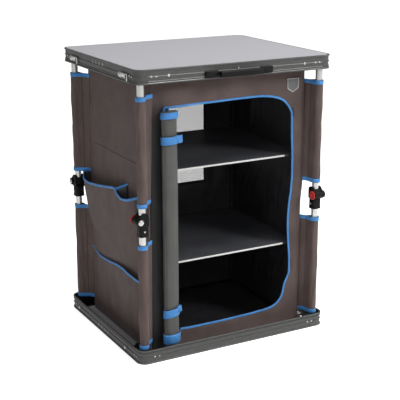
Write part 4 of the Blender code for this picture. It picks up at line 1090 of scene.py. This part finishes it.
def buildWindow():
    half, low, high = (window["half"] + window["seam"], window["low"] - window["seam"],
                       window["high"] + window["seam"])
    bm = clothGrid(-half, half, low, high, window["pitch"])
    whole = sheetArea(bm)
    bars = set(bmesh.ops.inset_individual(bm, faces=bm.faces[:], thickness=window["thread"] / 2,
                                          use_even_offset=True)["faces"])
    bmesh.ops.delete(bm, geom=[f for f in bm.faces if f not in bars], context="FACES")
    area = sheetArea(bm)

    def sagging(x, z):
        sag = window["sag"] * math.sin(math.pi * (x / half + 1) / 2)
        sag *= math.sin(math.pi * (z - low) / (high - low))
        return Vector((x, cabinet["halfDepth"] - window["inset"] - sag, z))

    shaped(bm, sagging)
    bmesh.ops.reverse_faces(bm, faces=bm.faces)
    piece = pressedFlat(finishPiece("window_net", bm, "net", "base", "net", ["mesh_window"], 80))
    rim, steps, outside = windowLine(), 12, cabinet["halfDepth"] + 0.0004
    path = []
    for a, b in zip(rim, rim[1:] + rim[:1]):
        path += [(a[0] + (b[0] - a[0]) * i / steps, outside, a[1] + (b[1] - a[1]) * i / steps)
                 for i in range(steps)]
    tapeAlong("window_binding", path, (0, 1, 0), 0.0100, 0.0030, finish="zip", closed=True)


def buildTrayCloths():  # the cabinet's own cloth on the floor, and under the tabletop where it gives a little
    halfX, halfY = trayCloth["halfWidth"], trayCloth["halfDepth"]

    def onFloor(x, y):
        return Vector((x, y, trayCloth["floor"] + 0.0004 * noise.noise(Vector((x * 9, y * 9, 5)))))

    def underTop(x, y):
        return Vector((x, y, trayCloth["ceiling"] - 0.0012 * slack(0.1) * math.cos(x * 6) * math.cos(y * 8)))

    for name, place, held, panel in (("floor", onFloor, "laid", "bottom_panel"),
                                     ("ceiling", underTop, "stretched", "top_panel")):
        bm = shaped(clothGrid(-halfX, halfX, -halfY, halfY, trayCloth["step"]), place)
        clothPiece(f"cabinet_{name}_cloth", bm, "lining", "cabinet_fabric", trayCloth["flat"],
                   lined=False)


buildWalls()
buildWindow()
buildTrayCloths()
print("cabinet walls built")


# Leg sleeves and their webs
sleeve = {
    "thickness": 0.0009, "radius": 0.0104, "lower": (0.038, 0.331), "upper": (0.436, 0.727), "flat": 0.088,
    "binding": 0.0115, "bindingFlat": 0.094, "bindingStand": 0.0016, "bindingThickness": 0.0008,
    "overhang": 0.001, "corner": (0.064, 0.0547), "point": 0.024, "webThickness": 0.0014, "webTape": 0.0030,
    # heights, and how far along the wall the web meets it there
    "webEnd": ((0.038, 0.0615), (0.331, 0.0645), (0.436, 0.0625), (0.727, 0.0715)),
}


def sleeveAxis():  # the leg's axis, and the way from it to the wall by the corner
    axis = Vector((leg["along"], leg["inward"]))
    return axis, Vector(sleeve["corner"]) - axis


def sleeveTube(low, high, grow=0.0, seed=0.0):  # cloth round the tube, its two sides meeting at the web
    axis, web = sleeveAxis()
    heading = math.atan2(web.y, web.x)
    radius, point = sleeve["radius"] + grow, sleeve["point"] + grow
    opening = math.acos(radius / point)
    flank, turn = math.sqrt(point ** 2 - radius ** 2), radius * (2 * math.pi - 2 * opening)
    tip = axis + web.normalized() * point

    def onRound(angle):
        return axis + radius * Vector((math.cos(angle), math.sin(angle)))

    def place(along, height):
        if along < flank:
            spot = tip.lerp(onRound(heading + opening), along / flank)
        elif along < flank + turn:
            spot = onRound(heading + opening + (along - flank) / radius)
        else:
            spot = onRound(heading - opening).lerp(tip, (along - flank - turn) / flank)
        out = (spot - axis).normalized()
        loose = 0.0007
        if not grow:
            ends = max(min((height - low) / 0.02, (high - height) / 0.02, 1.0), 0)
            long = noise.noise(Vector((out.x * 1.4 + seed, out.y * 1.4, height * 22)))
            fine = noise.noise(Vector((out.x * 2.2 + seed, out.y * 2.2 + height * 9, height * 13)))
            loose = ends * (0.0009 * (1 + long) + 0.0024 * fine)
        spot = spot + out * loose
        return Vector((spot.x, spot.y, height))

    return shaped(clothGrid(0, 2 * flank + turn, low, high, 0.0026, 0.003 if grow else 0.009), place)


def webSheet(low, high, seed):  # from the sleeve's point to the wall, which it meets further along higher up
    axis, web = sleeveAxis()
    side = Vector((-web.y, web.x)).normalized()
    start = sleeve["point"] - 0.0004
    inset = sleeve["corner"][1]

    def wallEnd(height):
        for (z1, x1), (z2, x2) in zip(sleeve["webEnd"], sleeve["webEnd"][1:]):
            if height <= z2:
                return Vector((x1 + (x2 - x1) * max(height - z1, 0) / (z2 - z1), inset))
        return Vector((sleeve["webEnd"][-1][1], inset))

    def place(along, height):
        point = axis + web.normalized() * start
        share = (along - start) / (web.length - start)
        spot = point + (wallEnd(height) - point) * share
        ends = max(min((height - low) / 0.03, (high - height) / 0.03, 1.0), 0)
        ripple = noise.noise(Vector((seed, along * 20, height * 11)))
        sway = 0.0022 * ends * math.sin(math.pi * share) * ripple
        return Vector((spot.x + side.x * sway, spot.y + side.y * sway, height))

    bm = shaped(clothGrid(start, web.length + 0.0004, low, high, 0.005, 0.008), place)
    return bm, place, start, web.length


def buildSleeve(name, part, place, seed, body):
    low, high = sleeve[part]
    bm = movedBy(sleeveTube(low, high, seed=seed), place)
    clothPiece(name, bm, "cloth", "cabinet_fabric", (sleeve["flat"], high - low),
               thickness=sleeve["thickness"], offset=1, body=body, folds=False)
    width, over = sleeve["binding"], sleeve["overhang"]
    for end, base in (("top", high - width + over), ("bottom", low - over)):
        band = movedBy(sleeveTube(base, base + width, sleeve["bindingStand"], seed), place)
        clothPiece(f"{name}_binding_{end}", band, "tape", "cabinet_fabric", (sleeve["bindingFlat"], width),
                   thickness=sleeve["bindingThickness"], lined=False, offset=1, body=body,
                   folds=False)


def buildWeb(name, part, place, seed):
    low, high = sleeve[part]
    bm, webPlace, start, length = webSheet(low, high, seed)
    clothPiece(name, movedBy(bm, place), "cloth", "cabinet_fabric", (length - start, high - low),
               thickness=sleeve["webThickness"], lined=False, offset=0)
    side = place.to_3x3() @ (webPlace(start, low) - webPlace(length, low)).cross(Vector((0, 0, 1)))
    width, over = sleeve["binding"], sleeve["overhang"]
    near, steps = start + 0.0008, 10
    for end, height in (("top", high - width / 2 + over), ("bottom", low + width / 2 - over)):
        path = [place @ webPlace(near + (length - near) * i / steps, height) for i in range(steps + 1)]
        tapeAlong(f"{name}_binding_{end}", path, side, width, sleeve["webTape"])


def buildSleeves():
    for number, corner in enumerate(corners):
        place = cornerPlace(number)
        for part, shift in (("lower", 0.0), ("upper", 3.0)):
            half, seed = f"{corner}_{part}", number * 7.0 + shift
            buildSleeve(half + "_sleeve", part, place, seed, half + "_leg")
            buildWeb(half + "_web", part, place, seed)


buildSleeves()
print("sleeves built")


# Shelves
shelf = {
    "halfWidth": 0.2420, "front": -0.1846, "back": 0.1915, "thickness": 0.005, "edgeHalf": 0.2405, "cuts": 14,
    "edgeSplit": (0.1900, 0.1905), "edgeBack": -0.1840, "bendFrom": -0.185, "bendDepth": 0.377,
    "sag": 0.0016,
    "levels": (("upper", 0.515, 0.008), ("lower", 0.2535, 0.0)),  # name, top, rise at the back
}


def shelfBoard(top, rise):  # the back is held a little higher, and the middle gives
    half = shelf["halfWidth"]
    board = block((-half, shelf["front"], top - shelf["thickness"]), (half, shelf["back"], top), 0.0012, 3)
    long = [e for e in board.edges if e.calc_length() > 0.2]
    bmesh.ops.subdivide_edges(board, edges=long, cuts=shelf["cuts"], use_grid_fill=True)
    for vert in board.verts:
        back = (vert.co.y - shelf["bendFrom"]) / shelf["bendDepth"]
        give = math.cos(vert.co.x / half * math.pi / 2) * math.sin(math.pi * min(max(back, 0), 1))
        vert.co.z += rise * back - shelf["sag"] * give
    return board


def buildShelves():
    half, back = shelf["edgeHalf"], shelf["edgeBack"]
    stripEnd, stubStart = shelf["edgeSplit"]
    for name, top, rise in shelf["levels"]:
        body, low = name + "_shelf", top - shelf["thickness"] + 0.0004
        finishPiece(f"shelf_board_{name}", shelfBoard(top, rise), "shelf", body, "shelf_sheet",
                    [f"shelf_{name}"], 50)
        strip = block((-half, shelf["front"] - 0.0016, low), (stripEnd, back, top + 0.0002), 0.0005)
        finishPiece(f"shelf_edging_{name}", strip, "edging", body, "shelf_sheet")
        stub = block((stubStart, shelf["front"] - 0.0012, low), (half, back, top), 0.0005)
        finishPiece(f"shelf_edge_end_{name}", stub, "zip", body, "shelf_sheet")


buildShelves()
print("shelves built")


# Rolled door
roll = {
    "x": -0.1830, "lean": -0.0052, "y": -0.2093, "halfWidth": 0.0237, "halfDepth": 0.0134, "bottom": 0.030,
    "top": 0.681, "turns": 2.2, "firstAngle": 2.4, "layer": 0.00352, "flatWidth": 0.262, "mapWidth": 0.26,
    "steps": 54, "rows": 72,
}
rollBands = {  # height, half width, stand off the roll and tilt of each tape round it
    "strap_upper": (0.604, 0.0105, 0.0014, 0.0010), "strap_lower": (0.121, 0.0115, 0.0014, 0.0045),
    "end_binding_top": (0.6705, 0.0085, 0.0008, 0.0010),
    "end_binding_bottom": (0.044, 0.0140, 0.0008, 0.0010),
}
bandSize = {"flatLength": 0.125, "mapLength": 0.12, "thickness": 0.0012, "bulge": 0.0006, "steps": 48,
            "rows": 5}
strapTails = {"upper": (0.606, 0.0100, 0.020), "lower": (0.130, 0.0085, 0.012)}  # height, half width, reach
hangingLoop = {"x": -0.010, "y": 0.006, "height": 0.679, "half": 0.0075, "rise": 0.0125}


def rollRadius(angle, height):
    # share of the half widths: drawn in at the straps, soft folds running along it
    straps = (rollBands["strap_upper"][0], rollBands["strap_lower"][0])
    waist = sum(0.10 * math.exp(-((height - z) / 0.016) ** 2) for z in straps)
    ends = 0.05 * sum(math.exp(-((height - roll[end]) / 0.012) ** 2) for end in ("top", "bottom"))
    twist = angle + height * 1.4
    folds = 0.045 * noise.noise(Vector((math.cos(twist) * 1.5, math.sin(twist) * 1.5, height * 4)))
    folds += 0.020 * noise.noise(Vector((math.cos(twist) * 3.5, math.sin(twist) * 3.5, height * 16 + 9)))
    return 1 - waist - ends + folds


def rollPoint(angle, height, grow=0.0):
    share = rollRadius(angle, height)
    return Vector((roll["x"] + roll["lean"] * height + (roll["halfWidth"] * share + grow) * math.cos(angle),
                   roll["y"] + (roll["halfDepth"] * share + grow) * math.sin(angle), height))


def unitSheet(columns, rows, size, closed=False):  # a sheet over the unit square, its cloth map in metres
    bm = bmesh.new()
    uv = bm.loops.layers.uv.new("clothMap")
    line = [bm.verts.new((i / columns, 0, 0)) for i in range(columns if closed else columns + 1)]
    edges = [bm.edges.new(pair) for pair in zip(line, line[1:] + (line[:1] if closed else []))]
    for _ in range(rows):
        made = bmesh.ops.extrude_edge_only(bm, edges=edges)["geom"]
        edges = [g for g in made if isinstance(g, bmesh.types.BMEdge)]
        bmesh.ops.translate(bm, vec=(0, 1 / rows, 0),
                            verts=[g for g in made if isinstance(g, bmesh.types.BMVert)])
    for face in bm.faces:
        for loop in face.loops:
            loop[uv].uv = (loop.vert.co.x * size[0], loop.vert.co.y * size[1])
    return bm


def facingOut(bm, probe):  # turns the faces away from the roll's axis, as one of them tells
    bm.normal_update()
    centre = probe.calc_center_median()
    if probe.normal.dot(centre - Vector((roll["x"], roll["y"], centre.z))) < 0:
        bmesh.ops.reverse_faces(bm, faces=bm.faces)


def buildRoll():  # the outer turns are one sheet whose free edge lies on the roll
    length = roll["top"] - roll["bottom"]
    bm = unitSheet(round(roll["steps"] * roll["turns"]), roll["rows"], (roll["mapWidth"], length))
    for vert in bm.verts:
        angle = roll["firstAngle"] + vert.co.x * roll["turns"] * 2 * math.pi
        inner = roll["layer"] * (1 - vert.co.x) * roll["turns"]
        vert.co = rollPoint(angle, roll["bottom"] + vert.co.y * length, -inner)
    facingOut(bm, bm.faces[:][-1])
    flat = (roll["flatWidth"], length)
    clothPiece("rolled_door", bm, "rollCloth", "dark_fabric", flat,
               ["door_roll"], area=min(sheetArea(bm), flat[0] * flat[1]))


def buildRollBands():
    for name, (height, half, grow, tilt) in rollBands.items():
        band = unitSheet(bandSize["steps"], bandSize["rows"], (bandSize["mapLength"], 2 * half), True)
        for vert in band.verts:
            angle = vert.co.x * 2 * math.pi
            bulge = bandSize["bulge"] * math.sin(math.pi * vert.co.y)
            rise = height + (vert.co.y * 2 - 1) * half + tilt * math.cos(angle)
            vert.co = rollPoint(angle, rise, grow + bulge)
        bmesh.ops.recalc_face_normals(band, faces=band.faces)
        facingOut(band, band.faces[:][0])
        flat = (bandSize["flatLength"], 2 * half)
        clothPiece("door_" + name, band, "tape", "cabinet_fabric", flat,
                   thickness=bandSize["thickness"], lined=False, offset=1,
                   area=min(sheetArea(band), flat[0] * flat[1]))


def buildTails():  # free end of each strap, standing off to the right of the roll, and the loop at its top
    for name, (height, half, reach) in strapTails.items():
        front = roll["x"] + roll["lean"] * height + roll["halfWidth"] * 0.62
        near = roll["y"] - roll["halfDepth"] * 0.80 - 0.0012
        path = [(front + reach * i / 8, near + 0.006 * (i / 8) ** 2, height + 0.001 * math.sin(i))
                for i in range(9)]
        tail = tapeAlong("door_strap_tail_" + name, path, (0.25, -1, 0), 2 * half, 0.0018)
        length = sum((Vector(b) - Vector(a)).length for a, b in zip(path, path[1:]))
    x, y = roll["x"] + hangingLoop["x"], roll["y"] + hangingLoop["y"]
    half, rise, low = hangingLoop["half"], hangingLoop["rise"], hangingLoop["height"]
    turns = [math.radians(a) for a in range(-20, 201, 20)]
    loop = [(x + half * math.cos(a), y, low + rise * max(math.sin(a), -0.25)) for a in turns]
    tapeAlong("door_hanging_loop", loop, (0, -1, 0), 0.0036, 0.0070)


buildRoll()
buildRollBands()
buildTails()
print("rolled door built")


# Side pockets
pockets = {  # mouth: places along the wall and heights of the wavy top edge, rear to front
    "upper": {
        "bottom": 0.196, "reach": 0.0280,
        "mouth": [(0.1900, 0.4420), (0.1870, 0.4400), (0.1770, 0.4225), (0.1420, 0.4178),
                  (0.0920, 0.4238), (0.0360, 0.4320), (-0.0240, 0.4430), (-0.0470, 0.4450),
                  (-0.0640, 0.4325), (-0.0870, 0.4265), (-0.1250, 0.4320), (-0.1500, 0.4400),
                  (-0.1620, 0.4460)],
    },
    "lower": {
        "bottom": 0.018, "reach": 0.0165,
        "mouth": [(0.1900, 0.2050), (0.1720, 0.2010), (0.1500, 0.1945), (0.1145, 0.1930),
                  (0.0720, 0.1970), (0.0150, 0.2050), (-0.0300, 0.2100), (-0.0750, 0.2120),
                  (-0.1200, 0.2090), (-0.1600, 0.2065), (-0.1840, 0.2070)],
    },
    "divider": {"outer": -0.0500, "wall": -0.0740, "low": 0.330, "outerTop": 0.4440, "wallTop": 0.4600,
                "flat": (0.034, 0.122), "mostArea": 0.0041},
}
pocketGrid = {"length": 0.46, "width": 0.2, "gusset": 0.885}  # the gusset is a share of the length
shelfSeam = {"reach": 0.186, "height": 0.529}


def smoothEdge(points, along):  # height of a smooth curve through the points
    last = len(points) - 2
    for i in range(last + 1):
        (x1, z1), (x2, z2) = points[i], points[i + 1]
        if along >= x2 or i == last:
            before, after = points[max(i - 1, 0)], points[min(i + 2, last + 1)]
            rise1 = (z2 - before[1]) / (x2 - before[0]) * (x2 - x1)
            rise2 = (after[1] - z1) / (after[0] - x1) * (x2 - x1)
            t = min(max((along - x1) / (x2 - x1), 0), 1)
            t2, t3 = t * t, t ** 3
            ends = (2 * t3 - 3 * t2 + 1) * z1 + (3 * t2 - 2 * t3) * z2
            return ends + (t3 - 2 * t2 + t) * rise1 + (t3 - t2) * rise2


def pocketPoint(which, sweep, share):
    # sweep 0 to 1 from rear to front, share 0 to 1 from the seam up to the mouth
    spec = pockets[which]
    rear, front = spec["mouth"][0][0], spec["mouth"][-1][0]
    if which == "upper":
        front -= 0.026 * (1 - share ** 2)
    middle, half = (rear + front) / 2, (rear - front) / 2
    turn = math.cos(math.pi * sweep)  # columns gather at both ends, where the cloth turns to the wall
    along = middle + half * turn
    plan = (1 - abs(turn) ** (60 if which == "upper" and turn > 0 else 12 if which == "upper" else 6)) ** 0.5
    height = spec["bottom"] + (smoothEdge(spec["mouth"], along) - spec["bottom"]) * share
    if which == "upper":
        ends = max(0.0, (share - 0.36) / 0.64) ** 0.6
        full = math.sin(math.pi / 2 * min(share * 1.05, 1.0)) ** 0.9
        lift = full + (ends - full) * abs(turn) ** 2.5
    else:
        plan *= min(max((0.150 - along) / 0.24, 0), 1) ** 0.8
        lift = math.sin(math.pi / 2 * share) ** 0.8
    seed = 31.0 if which == "upper" else 47.0
    wrinkle = 0.0022 * noise.noise(Vector((along * 20 + height * 9, height * 11, seed)))
    wrinkle += 0.0010 * noise.noise(Vector((along * 46 + height * 20, height * 30, 12.0)))
    wall = min(sideCloth(-1, along, height).x, 0.0015 - cabinet["halfWidth"])
    seat = 0.0012
    if which == "upper":  # its ends are sewn into the wall
        seat -= 0.0027 * (1 - min(plan * 4, 1))
    return Vector((wall - seat - plan * (spec["reach"] * lift + wrinkle * min(share * 3, 1)), along, height))


def buildPockets():
    length, width = pocketGrid["length"], pocketGrid["width"]
    for which, node, columns, rows in (("upper", "upper_pockets", 92, 30), ("lower", "lower_pocket", 80, 24)):
        bm = clothGrid(0, length, 0, width, length / columns, width / rows)
        if which == "upper":  # faces of the front gusset take the second finish, the black lining
            for face in bm.faces:
                face.material_index = 1 if face.calc_center_median().x / length > pocketGrid["gusset"] else 0
        shaped(bm, lambda x, z: pocketPoint(which, x / length, z / width))
        flat = (length, sheetArea(bm) / length)
        clothPiece(f"side_pocket_{which}", bm, "cloth", "cabinet_fabric", flat,
                   [node], thickness=0.0009)
        path = [pocketPoint(which, i / 140, 1.0) - Vector((0, 0, 0.0010)) for i in range(1, 140)]
        tapeAlong(f"side_pocket_{which}_binding", path, None, 0.0070, 0.0026)
        low = [pocketPoint(which, 0.03 + 0.94 * i / 60, 0.02) - Vector((0.0006, 0, 0)) for i in range(61)]
        tapeAlong(f"side_pocket_{which}_seam", low, None, 0.0030, 0.0016, finish="cloth")


def buildDivider():  # it stands between the mouth's step and the wall
    spec, upper = pockets["divider"], pockets["upper"]

    def across(out, up):
        rear, front = upper["mouth"][0][0], upper["mouth"][-1][0]
        sweep = math.acos((spec["outer"] - (rear + front) / 2) / ((rear - front) / 2)) / math.pi
        top = spec["wallTop"] + (spec["outerTop"] - spec["wallTop"]) * out
        height = spec["low"] + (top - spec["low"]) * up
        share = (height - upper["bottom"]) / (spec["outerTop"] - upper["bottom"])
        outer = pocketPoint("upper", sweep, min(share, 1.0)).x + 0.0012
        wall = sideCloth(-1, spec["wall"], height).x
        along = spec["wall"] + (spec["outer"] - spec["wall"]) * out
        return Vector((wall + (outer - wall) * out, along, height))

    bm = shaped(clothGrid(0, 1, 0, 1, 0.2, 0.05), across)
    clothPiece("side_pocket_divider", bm, "lining", "cabinet_fabric", spec["flat"],
               area=min(sheetArea(bm), spec["mostArea"]), thickness=0.0008,
               lined=False)
    tapeAlong("side_pocket_divider_binding", [across(i / 10, 1.0) for i in range(11)], None, 0.0066, 0.0024)


def buildShelfSeam():  # the seam that holds the upper shelf shows on the left wall
    reach, height = shelfSeam["reach"], shelfSeam["height"]
    hem = []
    for i in range(61):
        spot = sideCloth(-1, reach - 2 * reach * i / 60, height + 0.0012 * math.sin(i / 9))
        hem.append(spot - Vector((0.0004, 0, 0)))
    tapeAlong("left_wall_shelf_seam", hem, None, 0.0034, 0.0014, finish="cloth")


buildPockets()
buildDivider()
buildShelfSeam()
print("pockets built")


# Plain shield patch
patch = {"middle": 0.2055, "half": 0.0188, "low": 0.6945, "high": 0.7335, "rimWidth": 0.0022,
         "body": (-0.0006, 0.0011), "rim": (0.0, 0.0016)}


def buildPatch():
    half, low, middle = patch["half"], patch["low"], patch["middle"]
    top = patch["high"] - low
    outline = [(half, top), (-half, top), (-half * 0.96, 0.0120), (-half * 0.80, 0.0090), (0, 0),
               (half * 0.80, 0.0090), (half * 0.96, 0.0120)]
    under = [frontCloth(middle + x, low + z).y for x in (-half, 0, half) for z in (0, 0.02, 0.045)]
    y = min(under) - 0.0002  # just proud of the cloth behind it
    stand = Matrix.Translation((middle, y, low)) @ sideways
    shield = pushedOut(outline, *patch["body"], 0.0004)
    rim = pushedOut(outline, *patch["rim"])
    upper = max(rim.faces, key=lambda f: f.calc_center_median().z)
    bmesh.ops.inset_region(rim, faces=[upper], thickness=patch["rimWidth"], depth=0.0)
    inner = max(rim.faces, key=lambda f: f.calc_area() if f.normal.z > 0.9 else 0)
    lower = min(rim.faces, key=lambda f: f.calc_center_median().z)
    bmesh.ops.delete(rim, geom=[inner, lower], context="FACES")
    for name, bm, finish in (("shield_patch", shield, "patch"), ("shield_patch_rim", rim, "patchRim")):
        pressedFlat(finishPiece(name, movedBy(bm, stand), finish, "base", "cabinet_fabric"))


buildPatch()
print("patch built")
